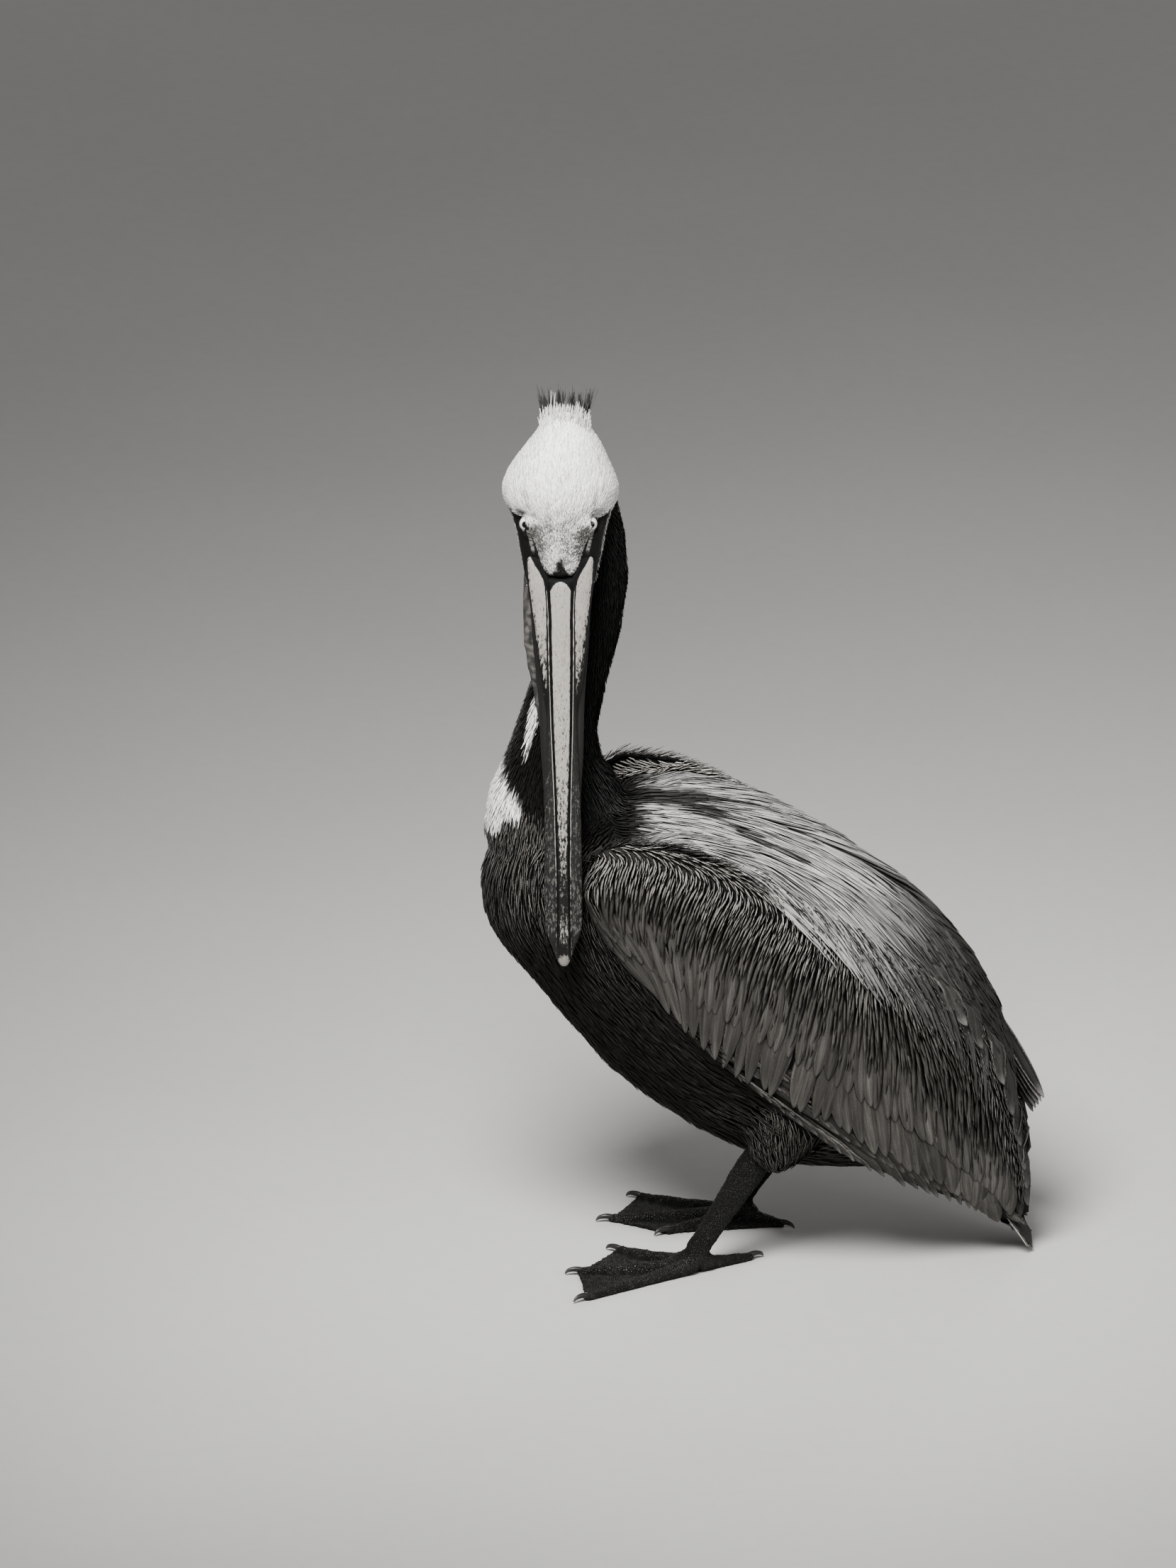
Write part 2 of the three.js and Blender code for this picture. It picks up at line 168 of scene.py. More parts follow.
SHADES = ((0.0, 0.0), (0.04, 0.0107), (0.1, 0.0214), (0.19, 0.043), (0.32, 0.079), (0.46, 0.129),
          (0.61, 0.214), (0.71, 0.32), (0.8, 0.5), (0.85, 0.71), (0.9, 0.88))


def light(value: float, warmth: float = 0.0) -> Colour:
    """A near neutral colour.

    Args:
        value: its lightness as a screen shows it in the studio's light, from 0 to 0.9.
        warmth: how far it leans to brown, from 0 to about 1.

    Returns:
        The linear colour.
    """
    linear = float(table(SHADES, value))
    return (linear * (1 + 0.16 * warmth), linear, linear * (1 - 0.22 * warmth))


def wander(points: Array, pitch: float, seed: int = 0) -> Array:
    """A smooth irregular value in space, made from a few crossed waves.

    Args:
        points: places in millimetres.
        pitch: the size of its patches in millimetres.
        seed: picks another pattern.

    Returns:
        A value from about -1 to 1 for each point.
    """
    rng = np.random.default_rng(SEED + 77 * seed)
    total = np.zeros(len(points))
    for _ in range(6):
        wave = unit(rng.normal(size=3)) * rng.uniform(0.6, 1.7) * 2 * math.pi / pitch
        total += np.sin(points @ wave + rng.uniform(0, 2 * math.pi))
    return total / 3.2


# ---- The bird's shape -----------------------------------------------------------------------


@dataclass(frozen=True)
class HeadFrame:
    """The bill's own axes: along it to the tip, out of its top, and towards the bird's left."""

    base: tuple = (48.0, -123.0, 606.0)
    lean: float = math.radians(10.0)
    bill: float = 323.0
    drift: float = 3.0

    @property
    def axes(self) -> Array:
        """Rows: down the bill, out of its top, to the left."""
        sin, cos = math.sin(self.lean), math.cos(self.lean)
        return np.array(((sin, 0.0, -cos), (cos, 0.0, sin), (0.0, 1.0, 0.0)))

    def place(self, along: Array, out: Array, side: Array) -> Array:
        """Puts head coordinates into the bird's millimetres."""
        parts = np.stack(np.broadcast_arrays(along, out, side), axis=-1).astype(float)
        return parts @ self.axes + np.array(self.base)

    def read(self, points: Array) -> Array:
        """Turns the bird's millimetres into rows of (along, out, side)."""
        return (points - np.array(self.base)) @ self.axes.T


@dataclass(frozen=True)
class NeckPath:
    """The middle line of the neck from the breast up, and how its front turns to the left."""

    path: tuple = ((0, -124, 326), (0, -126, 384), (0, -128, 412), (0, -129, 442),
                   (-8, -120, 484), (-18, -106, 530), (-25, -97, 574), (-24, -99, 619),
                   (-10, -109, 662), (8, -118, 696))
    front: tuple = ((326, 0), (440, 0), (484, 4), (530, 24), (574, 38), (619, 48), (660, 60))
    steps: int = 120

    def read(self, points: Array) -> tuple[Array, Array, Array]:
        """Finds where points lie on the neck.

        Args:
            points: places in the bird's millimetres.

        Returns:
            The height of the nearest point of the path, the turn from the neck's front towards
            the bird's left in degrees, and the path's direction down to the trunk.
        """
        line = catmull(self.path, np.linspace(0, 1, self.steps))
        nearest = np.argmin(((points[:, None, :] - line[None]) ** 2).sum(-1), axis=1)
        centre = line[nearest]
        down = unit(-np.gradient(line, axis=0))[nearest]
        heading = np.radians(table(self.front, centre[:, 2]))
        front = np.stack((np.sin(heading), -np.cos(heading), 0 * heading), -1)
        left = np.stack((np.cos(heading), np.sin(heading), 0 * heading), -1)
        offset = points - centre
        turn = np.degrees(np.arctan2((offset * left).sum(1), (offset * front).sum(1)))
        return centre[:, 2], turn, down


@dataclass(frozen=True)
class WingShape:
    """The outer face of a folded left wing, between the forearm's ridge and the lower edge."""

    ridge: tuple = ((90, -104, 352), (101, -96, 373), (109, -78, 388), (115, -24, 384),
                    (115, 29, 362), (111, 88, 328), (98, 147, 292), (74, 206, 245),
                    (45, 246, 183), (29, 263, 117), (20, 270, 64), (16, 270, 32))
    hem: tuple = ((88, -104, 344), (88, -95, 318), (91, -73, 281), (95, -39, 243),
                  (98, -5, 210), (98, 35, 176), (94, 74, 143), (85, 114, 110),
                  (71, 153, 84), (54, 194, 62), (38, 226, 44), (24, 246, 26))
    bulge: float = 13.0
    raised: tuple = (16.0, -8.0)  # the right wing's height over the left's, wrist and tip

    def surface(self, along: Array, down: Array, side: Side) -> Array:
        """Points of the outer face.

        Args:
            along: shares from the wrist to the tip.
            down: shares from the ridge to the lower edge.
            side: the wing's side.

        Returns:
            Rows of the bird's millimetres.
        """
        ridge, hem = catmull(self.ridge, along), catmull(self.hem, along)
        place = ridge + (hem - ridge) * down[..., None]
        place[..., 0] += self.bulge * np.sin(np.pi * np.clip(down, 0, 1)) * (1 - 0.6 * along)
        if side is Side.RIGHT:
            place[..., 2] += mix(*self.raised, along)
        place[..., 0] *= side.value
        return place

    def read(self, points: Array, side: Side) -> Array:
        """Finds where points lie on the outer face.

        Args:
            points: places in the bird's millimetres.
            side: the wing's side.

        Returns:
            Rows of (along, down), of the nearest point of the face.
        """
        along, down = np.meshgrid(np.linspace(0, 1, 90), np.linspace(0, 1, 50), indexing="ij")
        tree = plant(self.surface(along.ravel(), down.ravel(), side))
        nearest = np.array([tree.find(point)[1] for point in points], int)
        return np.stack((along.ravel()[nearest], down.ravel()[nearest]), -1)


WING_TOP = ((-104, 352), (-96, 373), (-78, 388), (-24, 384), (29, 362), (88, 328), (147, 292),
            (206, 245), (246, 183), (263, 117))  # the ridge's height along the bird
WING_EDGE = ((-104, 90), (-78, 109), (-24, 115), (29, 115), (88, 111), (147, 98), (206, 74),
             (246, 45))  # how far out the ridge lies
HEAD = HeadFrame()
NECK = NeckPath()
WING = WingShape()


@dataclass(frozen=True)
class Lie:
    """How feathers lie, from a few guide strokes in the bird's side view.

    Each stroke is (y, v, turn): its place backwards and up in a view from the left that looks
    down by LOOK_DOWN, in millimetres, and its turn from straight down towards the tail.
    """

    strokes: tuple
    reach: float = 14.0

    def at(self, points: Array) -> Array:
        """The lie at each point.

        Args:
            points: places in the bird's millimetres, of either side.

        Returns:
            Unit rows, not yet laid onto the skin.
        """
        rows = np.array(self.strokes, float)
        seen = np.stack((points[:, 1], seen_height(points)), -1)
        gap = ((seen[:, None, :] - rows[None, :, :2]) ** 2).sum(-1)
        weight = 1.0 / (gap + self.reach**2) ** 2
        turn = np.radians(rows[:, 2])
        aim = unit(weight @ np.stack((np.sin(turn), -np.cos(turn)), -1))
        outward = np.where(points[:, 0] < 0, -math.sin(LOOK_DOWN), math.sin(LOOK_DOWN))
        return np.stack((-outward * aim[:, 1], aim[:, 0], math.cos(LOOK_DOWN) * aim[:, 1]), -1)


WING_LIE = Lie(strokes=(
    (-87, 321, -25), (-93, 297, -3), (-89, 268, 20), (-73, 242, 30), (-62, 218, 30),
    (-76, 300, -5), (-65, 335, -50), (-39, 329, -50), (-13, 318, -45), (14, 306, -48),
    (40, 292, -48), (66, 279, -43), (92, 266, -36), (113, 255, -18), (132, 249, 5),
    (153, 243, 25), (171, 245, 45), (197, 229, 50), (221, 211, 50), (242, 192, 42),
    (-60, 308, -8), (-30, 303, -13), (0, 288, -18), (35, 272, -22), (66, 256, -22),
    (105, 240, -12), (132, 230, 3), (158, 224, 28), (184, 212, 38), (210, 192, 32),
    (236, 171, 24), (-78, 265, 16), (-57, 252, 12), (-31, 239, 2), (0, 231, -5),
    (40, 226, -8), (80, 213, -8), (113, 205, -2), (145, 200, 8), (171, 187, 22),
    (197, 168, 25), (223, 153, 20), (250, 142, 12), (-38, 205, 5), (-7, 192, -12),
    (27, 166, -14), (59, 127, -15), (88, 115, -12), (117, 98, 12), (146, 88, 12),
    (176, 78, 18), (205, 68, 18), (234, 49, 8), (250, 49, 10), (215, 127, 10),
    (244, 108, 10), (100, 160, -8), (150, 150, 5)))
BACK_LIE = Lie(strokes=(
    (-95, 356, 60), (-57, 350, 78), (-26, 360, 80), (1, 350, 70), (14, 331, 66),
    (45, 310, 58), (79, 300, 54), (106, 279, 48), (119, 263, 44), (171, 242, 44),
    (-75, 385, 84), (-52, 389, 86), (-13, 379, 76), (27, 371, 66), (66, 352, 60),
    (106, 331, 55), (145, 310, 50), (171, 289, 45), (197, 258, 38), (224, 226, 32),
    (245, 200, 24), (262, 140, 14)), reach=18.0)
BREAST_LIE = Lie(strokes=(
    (-183, 347, -14), (-167, 336, -6), (-152, 315, 2), (-174, 293, 5), (-156, 271, 15),
    (-112, 335, -35), (-100, 325, -28), (-102, 304, 0), (-102, 271, 25), (-87, 239, 33),
    (-135, 250, 28), (-156, 239, 32), (-91, 200, 40), (-52, 174, 46), (-40, 187, 36),
    (0, 153, 56), (0, 110, 62), (60, 110, 72), (60, 80, 78), (120, 80, 76), (190, 60, 50),
    (230, 30, 40)), reach=20.0)
THIGH_LIE = Lie(strokes=(
    (0, 150, 42), (30, 150, 30), (60, 140, 14), (30, 120, 18), (60, 120, 4), (50, 100, -6),
    (90, 140, 22), (90, 110, 14), (75, 90, 2)), reach=18.0)


# ---- Mesh tools --------------------------------------------------------------------------------


@dataclass(frozen=True)
class Sweep:
    """A closed body swept along stations of (x, y, z, wide, tall) in the bird's millimetres."""

    stations: tuple | Array
    across: tuple = (1.0, 0.0, 0.0)
    around: int = 24
    along: int = 30
    flat: float = 1.0  # how deep the lower half is beside the upper
    caps: tuple = (0.08, 0.08)

    def mesh(self, detail: Callable[[Array, Array, Array], Array] | None = None) -> bmesh.types.BMesh:
        """Builds the body from a sphere whose rings are laid on the stations.

        Args:
            detail: gives what is added to the height of each point, from its share along, its
                offset to the side in millimetres, and its upward share from -1 to 1.

        Returns:
            The closed mesh in the bird's millimetres.
        """
        bm = bmesh.new()
        bmesh.ops.create_uvsphere(bm, u_segments=self.around, v_segments=self.along, radius=1.0)
        ball = bm_places(bm)
        share = np.clip((1 - ball[:, 2]) / 2, 0, 1)
        flatness = np.maximum(np.hypot(ball[:, 0], ball[:, 1]), 1e-6)
        cos, sin = ball[:, 0] / flatness, ball[:, 1] / flatness
        rows = np.asarray(self.stations, float)
        place = catmull(rows, share)
        ahead = unit(catmull(rows, np.clip(share, 0.001, 0.999) + 0.001)[:, :3]
                     - catmull(rows, np.clip(share, 0.001, 0.999) - 0.001)[:, :3])
        first, last = self.caps
        closing = np.minimum(1.0, np.minimum(share / first, (1 - share) / last))
        closing = np.sqrt(np.maximum(0.0, 1 - (1 - closing) ** 2))
        across = np.array(self.across, float)
        sideways = unit(across - ahead * (ahead @ across)[:, None])
        upward = np.cross(sideways, ahead)
        side = place[:, 3] * closing * cos
        rise = place[:, 4] * closing * np.where(sin < 0, sin * self.flat, sin)
        if detail is not None:
            rise = rise + detail(share, side, sin) * closing
        spots = place[:, :3] + sideways * side[:, None] + upward * rise[:, None]
        move_places(bm, spots)
        bmesh.ops.recalc_face_normals(bm, faces=bm.faces[:])
        return bm


def bm_places(bm: bmesh.types.BMesh) -> Array:
    """The places of a mesh in the making, one row each."""
    return np.array([vert.co for vert in bm.verts])


def move_places(bm: bmesh.types.BMesh, spots: Array) -> None:
    """Moves the vertices of a mesh in the making."""
    for vert, spot in zip(bm.verts, spots):
        vert.co = spot


def join_bodies(bodies: list[bmesh.types.BMesh]) -> bmesh.types.BMesh:
    """Puts several meshes into one.

    Args:
        bodies: the meshes, which are freed.

    Returns:
        The whole mesh.
    """
    whole = bmesh.new()
    for body in bodies:
        part = bpy.data.meshes.new("part")
        body.to_mesh(part)
        body.free()
        whole.from_mesh(part)
        bpy.data.meshes.remove(part)
    return whole


def add_object(name: str, data: bpy.types.ID) -> bpy.types.Object:
    """Links a new object into the scene, at the origin."""
    made = bpy.data.objects.new(name, data)
    bpy.context.scene.collection.objects.link(made)
    return made


def make_piece(name: str, bm: bmesh.types.BMesh, in_bird: bool = True) -> bpy.types.Object:
    """Turns a mesh into an object at the origin.

    Args:
        name: the piece's name.
        bm: its mesh, which is freed.
        in_bird: whether the mesh is in the bird's millimetres.

    Returns:
        The linked object, smooth shaded.
    """
    mesh = bpy.data.meshes.new(name)
    bm.to_mesh(mesh)
    bm.free()
    if in_bird:
        set_places(mesh, to_frame(get_places(mesh)))
    mesh.shade_smooth()
    return add_object(name, mesh)


def read_rows(items: bpy.types.bpy_prop_collection, key: str, wide: int = 1,
              kind: type = np.int32) -> Array:
    """Reads one property of each item of a list.

    Args:
        items: the list, such as a mesh's vertices.
        key: the property's name.
        wide: how many numbers each item has.
        kind: the numbers' type.

    Returns:
        One number for each item, or one row where there are several.
    """
    flat = np.empty(len(items) * wide, kind)
    items.foreach_get(key, flat)
    return flat if wide == 1 else flat.reshape(-1, wide)


def get_places(mesh: bpy.types.Mesh) -> Array:
    """The vertices' places, one row each."""
    return read_rows(mesh.vertices, "co", 3, np.float32).astype(float)


def set_places(mesh: bpy.types.Mesh, spots: Array) -> None:
    """Moves the vertices to new places."""
    mesh.vertices.foreach_set("co", spots.astype(np.float32).ravel())
    mesh.update()


def get_normals(mesh: bpy.types.Mesh) -> Array:
    """The smooth normals of the vertices."""
    return read_rows(mesh.vertex_normals, "vector", 3, np.float32).astype(float)


def set_colour(mesh: bpy.types.Mesh, name: str, rows: Array) -> None:
    """Stores a colour attribute.

    Args:
        mesh: the mesh.
        name: the attribute's name.
        rows: three or four values for each vertex.
    """
    if rows.shape[1] == 3:
        rows = np.hstack((rows, np.ones((len(rows), 1))))
    layer = mesh.attributes.new(name, "FLOAT_COLOR", "POINT")
    layer.data.foreach_set("color", rows.astype(np.float32).ravel())


def remeshed(piece: bpy.types.Object, voxel: float, smooth: int) -> None:
    """Grows overlapping bodies into one even surface.

    Args:
        piece: the object, whose mesh is replaced.
        voxel: the new faces' size in millimetres.
        smooth: how many times the result is smoothed.
    """
    grown = piece.modifiers.new("grown", "REMESH")
    grown.mode = "VOXEL"
    grown.voxel_size = voxel * MM
    if smooth:
        soft = piece.modifiers.new("soft", "SMOOTH")
        soft.factor, soft.iterations = 0.5, smooth
    settle(piece)


def settle(piece: bpy.types.Object) -> None:
    """Puts modifiers into the mesh.

    Args:
        piece: the object, whose mesh is replaced.
    """
    graph = bpy.context.evaluated_depsgraph_get()
    result = bpy.data.meshes.new_from_object(piece.evaluated_get(graph))
    old = piece.data
    piece.modifiers.clear()
    piece.data = result
    bpy.data.meshes.remove(old)
    result.shade_smooth()


LIE_PULL = 0.6  # how strongly the coat's lie turns a long feather at each step


class Surface:
    """A mesh that can be asked for its nearest points, with smooth normals."""

    def __init__(self, mesh: bpy.types.Mesh) -> None:
        """Reads the mesh.

        Args:
            mesh: the mesh, in metres. What is read from it is in the bird's millimetres.
        """
        mesh.calc_loop_triangles()
        self.places = to_bird(get_places(mesh))
        self.normals = get_normals(mesh)
        self.faces = read_rows(mesh.loop_triangles, "vertices", 3)
        self.loops = read_rows(mesh.loop_triangles, "loops", 3)
        self.face_normals = unit(self.normals[self.faces].mean(1))
        self.tree = BVHTree.FromPolygons(self.places.tolist(), self.faces.tolist())

    def march(self, start: Array, heading: Array, normal: Array, length: Array, steps: int,
              lie: Callable[[Array], Array] | None = None, stiff: float = 0.45
              ) -> tuple[Array, Array]:
        """Lays lines over the surface.

        Args:
            start: first points, on the surface.
            heading: unit directions at the start.
            normal: the surface's normals there.
            length: the lines' lengths in millimetres.
            steps: how many steps each line has.
            lie: gives the coat's lie, for long feathers that follow it.
            stiff: how far a normal may turn in one step, as a cosine. Past that the line leaves
                the surface and runs straight on.

        Returns:
            Points and normals, each of shape (lines, steps + 1, 3).
        """
        count = len(start)
        points, normals = np.empty((2, count, steps + 1, 3))
        points[:, 0], normals[:, 0] = start, normal
        heading = lay_down(heading, normal)
        stride = (length / steps)[:, None]
        free = np.zeros(count, bool)
        for step in range(1, steps + 1):
            ahead = points[:, step - 1] + heading * stride
            spot, turned = ahead.copy(), normals[:, step - 1].copy()
            for index in np.flatnonzero(~free):
                found, _, face, _ = self.tree.find_nearest(ahead[index])
                new = self.face_normals[face]
                if new @ turned[index] < stiff:
                    free[index] = True
                    continue
                spot[index], turned[index] = found, new
            points[:, step], normals[:, step] = spot, turned
            heading = unit(spot - points[:, step - 1])
            if lie is not None:
                heading = unit(heading + LIE_PULL * lie(spot))
            heading = lay_down(heading, turned)
        return points, normals


# ---- Finishes ----------------------------------------------------------------------------------


class Tree:
    """Writes a node tree: makes nodes, sets their values and links them in one call."""

    def __init__(self, tree: bpy.types.NodeTree) -> None:
        """Keeps the tree that the nodes go into."""
        self.tree = tree

    def node(self, kind: str, *values: object, **settings: object) -> bpy.types.Node:
        """Adds a node.

        Args:
            kind: the node type's name after "ShaderNode".
            values: what goes into its inputs in order, a socket, a number or a colour, and
                None for an input that stays as it is.
            settings: the node's own settings.

        Returns:
            The node.
        """
        made = self.tree.nodes.new("ShaderNode" + kind)
        for name, value in settings.items():
            setattr(made, name, value)
        sockets = [socket for socket in made.inputs if socket.enabled]
        for socket, value in zip(sockets, values):
            self.feed(socket, value)
        return made

    def feed_all(self, node: bpy.types.Node, values: dict[str, object]) -> None:
        """Links or sets a node's inputs by their names."""
        for label, value in values.items():
            self.feed(node.inputs[label], value)

    def feed(self, socket: bpy.types.NodeSocket, value: object) -> None:
        """Links or sets one input.

        Args:
            socket: the input.
            value: a socket, a number or a colour, or None to leave the input as it is.
        """
        if value is None:
            return
        if isinstance(value, bpy.types.NodeSocket):
            self.tree.links.new(value, socket)
        elif isinstance(value, tuple) and len(value) == 3 and socket.type == "RGBA":
            socket.default_value = (*value, 1.0)
        else:
            socket.default_value = value

    def math(self, operation: str, *values: object) -> bpy.types.NodeSocket:
        """A Math node's result."""
        return self.node("Math", *values, operation=operation).outputs[0]

    def step(self, value: object, low: object, high: object) -> bpy.types.NodeSocket:
        """A smooth step of value from low to high."""
        made = self.node("MapRange", value, low, high, interpolation_type="SMOOTHSTEP")
        return made.outputs[0]

    def blend(self, share: object, first: object, second: object,
              how: str = "MIX") -> bpy.types.NodeSocket:
        """A Mix node's colour."""
        made = self.node("Mix", share, first, second, data_type="RGBA", blend_type=how)
        return made.outputs[2]

    def noise(self, where: object, scale: float, detail: float = 3.0,
              rough: float = 0.55) -> bpy.types.NodeSocket:
        """A Noise texture's value."""
        return self.node("TexNoise", where, scale, detail, rough).outputs[0]

    def tinted(self, colour: object, shade: object) -> bpy.types.NodeSocket:
        """A colour times a shade."""
        return self.blend(1.0, colour, shade, "MULTIPLY")

    def local(self) -> bpy.types.NodeSocket:
        """The place in the piece's own space."""
        return self.node("TexCoord").outputs["Object"]

    def attribute(self, name: str) -> bpy.types.Node:
        """Reads a colour attribute."""
        return self.node("Attribute", attribute_name=name)

    def parts(self, name: str) -> bpy.types.NodeOutputs:
        """The three parts of a colour attribute."""
        return self.node("SeparateColor", self.attribute(name).outputs["Color"]).outputs

    def bump(self, shader: bpy.types.Node, height: object, strength: float,
             distance: float) -> None:
        """Gives a shader a bump.

        Args:
            shader: the Principled BSDF.
            height: the socket with the height.
            strength: the bump's strength.
            distance: how high a height of one is, in metres.
        """
        made = self.node("Bump")
        self.feed_all(made, {"Strength": strength, "Distance": distance, "Height": height})
        self.feed(shader.inputs["Normal"], made.outputs[0])


class Groups:
    """The shader groups that several finishes share, each built once."""

    _made: dict[str, bpy.types.NodeTree] = {}

    @classmethod
    def open(cls, name: str, inputs: dict[str, str], outputs: dict[str, str]
             ) -> tuple[Tree, bpy.types.Node, bpy.types.Node]:
        """Starts a group with named sockets.

        Args:
            name: the group's name.
            inputs: socket types by name.
            outputs: socket types by name.

        Returns:
            The tree to write in, its input node and its output node.
        """
        group = bpy.data.node_groups.new(name, "ShaderNodeTree")
        for direction, sockets in (("INPUT", inputs), ("OUTPUT", outputs)):
            for label, kind in sockets.items():
                group.interface.new_socket(label, in_out=direction, socket_type=kind)
        cls._made[name] = group
        enter = group.nodes.new("NodeGroupInput")
        leave = group.nodes.new("NodeGroupOutput")
        return Tree(group), enter, leave

    @classmethod
    def vane(cls) -> bpy.types.NodeTree:
        """A feather's vane: pale middle streak, pale rims, barbs and shaft.

        Returns:
            The group, which gives a colour and a height.
        """
        if "vane" in cls._made:
            return cls._made["vane"]
        value, colour = "NodeSocketFloat", "NodeSocketColor"
        tree, enter, leave = cls.open(
            "vane",
            {"Tone": colour, "Streak": colour, "Across": value, "Along": value,
             "Streak Share": value, "Streak Width": value, "Rim Share": value,
             "Length": value, "Barbs": value, "Grain": value, "Seed": value},
            {"Color": colour, "Height": value})
        get = enter.outputs
        off = tree.math("ABSOLUTE", tree.math("MULTIPLY_ADD", get["Across"], 2.0, -1.0))
        ragged = tree.math("MULTIPLY_ADD", get["Grain"], 0.5, off)
        ragged = tree.math("SUBTRACT", ragged, 0.25)
        narrow = tree.math("MULTIPLY", get["Streak Width"], 0.45)
        streak = tree.step(ragged, get["Streak Width"], narrow)
        streak = tree.math("MULTIPLY", streak, tree.step(get["Along"], 0.02, 0.25))
        streak = tree.math("MULTIPLY", streak, get["Streak Share"])
        tip = tree.step(get["Along"], 0.86, 0.99)
        rim = tree.math("MAXIMUM", tree.step(ragged, 0.62, 0.95), tip)
        rim = tree.math("MULTIPLY", rim, get["Rim Share"])
        slant = tree.math("MULTIPLY_ADD", off, 0.09, get["Along"])
        beat = tree.math("MULTIPLY", tree.math("MULTIPLY", slant, get["Length"]), 560.0)
        barb = tree.math("SINE", tree.math("MULTIPLY_ADD", get["Grain"], 5.0, beat))
        shade = tree.math("MULTIPLY_ADD", tree.math("MULTIPLY", barb, get["Barbs"]), 0.07, 1.0)
        grain = tree.math("MULTIPLY_ADD", get["Grain"], 0.7, 0.65)
        shade = tree.math("MULTIPLY", shade, grain)
        seed = tree.math("MULTIPLY", get["Seed"], 97.0)
        lane = tree.math("MULTIPLY_ADD", get["Across"], 9.0, seed)
        reach = tree.math("MULTIPLY", tree.math("MULTIPLY", get["Along"], get["Length"]), 3.5)
        reach = tree.math("MULTIPLY_ADD", off, -0.8, reach)
        line = tree.noise(tree.node("CombineXYZ", lane, reach, seed).outputs[0], 1.0, 2.0, 0.6)
        line = tree.math("MULTIPLY", tree.math("SUBTRACT", line, 0.5), get["Barbs"])
        shade = tree.math("MULTIPLY", shade, tree.math("MULTIPLY_ADD", line, 1.5, 1.0))
        body = tree.blend(streak, get["Tone"], get["Streak"])
        body = tree.blend(rim, body, get["Streak"])
        body = tree.tinted(body, shade)
        shaft = tree.step(off, 0.12, 0.0)
        height = tree.math("MULTIPLY_ADD", barb, 0.3, shaft)
        tree.feed(leave.inputs["Color"], body)
        tree.feed(leave.inputs["Height"], height)
        return cls._made["vane"]

    @classmethod
    def pores(cls) -> bpy.types.NodeTree:
        """Fine skin: small cells over broader creases.

        Returns:
            The group, which gives a height and a shade of patches.
        """
        if "pores" in cls._made:
            return cls._made["pores"]
        value = "NodeSocketFloat"
        tree, enter, leave = cls.open("pores", {"Place": "NodeSocketVector", "Cells": value},
                                      {"Height": value, "Shade": value})
        cells = tree.node("TexVoronoi", enter.outputs["Place"], enter.outputs["Cells"],
                          feature="DISTANCE_TO_EDGE")
        raised = tree.step(cells.outputs["Distance"], 0.0, 0.22)
        crease = tree.noise(enter.outputs["Place"], 160.0, 5.0)
        tree.feed(leave.inputs["Height"], tree.math("MULTIPLY_ADD", crease, 0.8, raised))
        shade = tree.math("MULTIPLY_ADD", crease, 0.9, 0.55)
        tree.feed(leave.inputs["Shade"], shade)
        return cls._made["pores"]


@dataclass(frozen=True)
class Finish:
    """A look, whose material is made at its first use and then shared."""

    name: str  # not one that the frame's own materials have

    def material(self) -> bpy.types.Material:
        """The finish's material."""
        if self.name not in bpy.data.materials:
            made = bpy.data.materials.new(self.name)
            made.use_nodes = True
            self.write(Tree(made.node_tree), made.node_tree.nodes["Principled BSDF"])
        return bpy.data.materials[self.name]

    def write(self, tree: Tree, shader: bpy.types.Node) -> None:
        """Writes the nodes.

        Args:
            tree: the material's tree.
            shader: its Principled BSDF.
        """
        raise NotImplementedError


@dataclass(frozen=True)
class Plumage(Finish):
    """A finish for feathers, whose colours come with each feather."""

    roughness: float = 0.62
    specular: float = 0.35
    sheen: float = 0.0
    barbs: float = 1.0
    relief: float = 0.25

    def write(self, tree: Tree, shader: bpy.types.Node) -> None:
        """Writes the nodes, from the feathers' own attributes and vane map."""
        tone, streak, mark = (tree.attribute(name) for name in ("tone", "streak", "mark"))
        part = tree.node("SeparateColor", mark.outputs["Color"])
        spot = tree.node("SeparateXYZ", tree.node("UVMap", uv_map="Vane").outputs[0])
        group = tree.node("Group", node_tree=Groups.vane())
        tree.feed_all(group, {
            "Tone": tone.outputs["Color"], "Streak": streak.outputs["Color"],
            "Across": spot.outputs[0], "Along": spot.outputs[1],
            "Streak Share": part.outputs[0], "Streak Width": part.outputs[1],
            "Rim Share": part.outputs[2], "Length": mark.outputs["Alpha"],
            "Barbs": self.barbs, "Grain": tree.noise(tree.local(), 900.0, 2.0),
            "Seed": tone.outputs["Alpha"]})
        tree.feed_all(shader, {
            "Base Color": group.outputs["Color"], "Roughness": self.roughness,
            "Specular IOR Level": self.specular, "Sheen Weight": self.sheen})
        tree.bump(shader, group.outputs["Height"], self.relief, 0.0004)


@dataclass(frozen=True)
class Hide(Finish):
    """A finish for skin, whose colour comes from its tone attribute."""

    cells: float = 700.0
    roughness: float = 0.6
    strength: float = 0.5
    distance: float = 0.0005

    def write(self, tree: Tree, shader: bpy.types.Node) -> None:
        """Writes the nodes."""
        pores = tree.node("Group", node_tree=Groups.pores())
        tree.feed_all(pores, {"Place": tree.local(), "Cells": self.cells})
        tone, shade = tree.attribute("tone").outputs["Color"], pores.outputs["Shade"]
        rough = tree.math("MULTIPLY_ADD", shade, 0.15, self.roughness - 0.15)
        tree.feed_all(shader, {"Base Color": tree.tinted(tone, shade), "Roughness": rough})
        tree.bump(shader, pores.outputs["Height"], self.strength, self.distance)


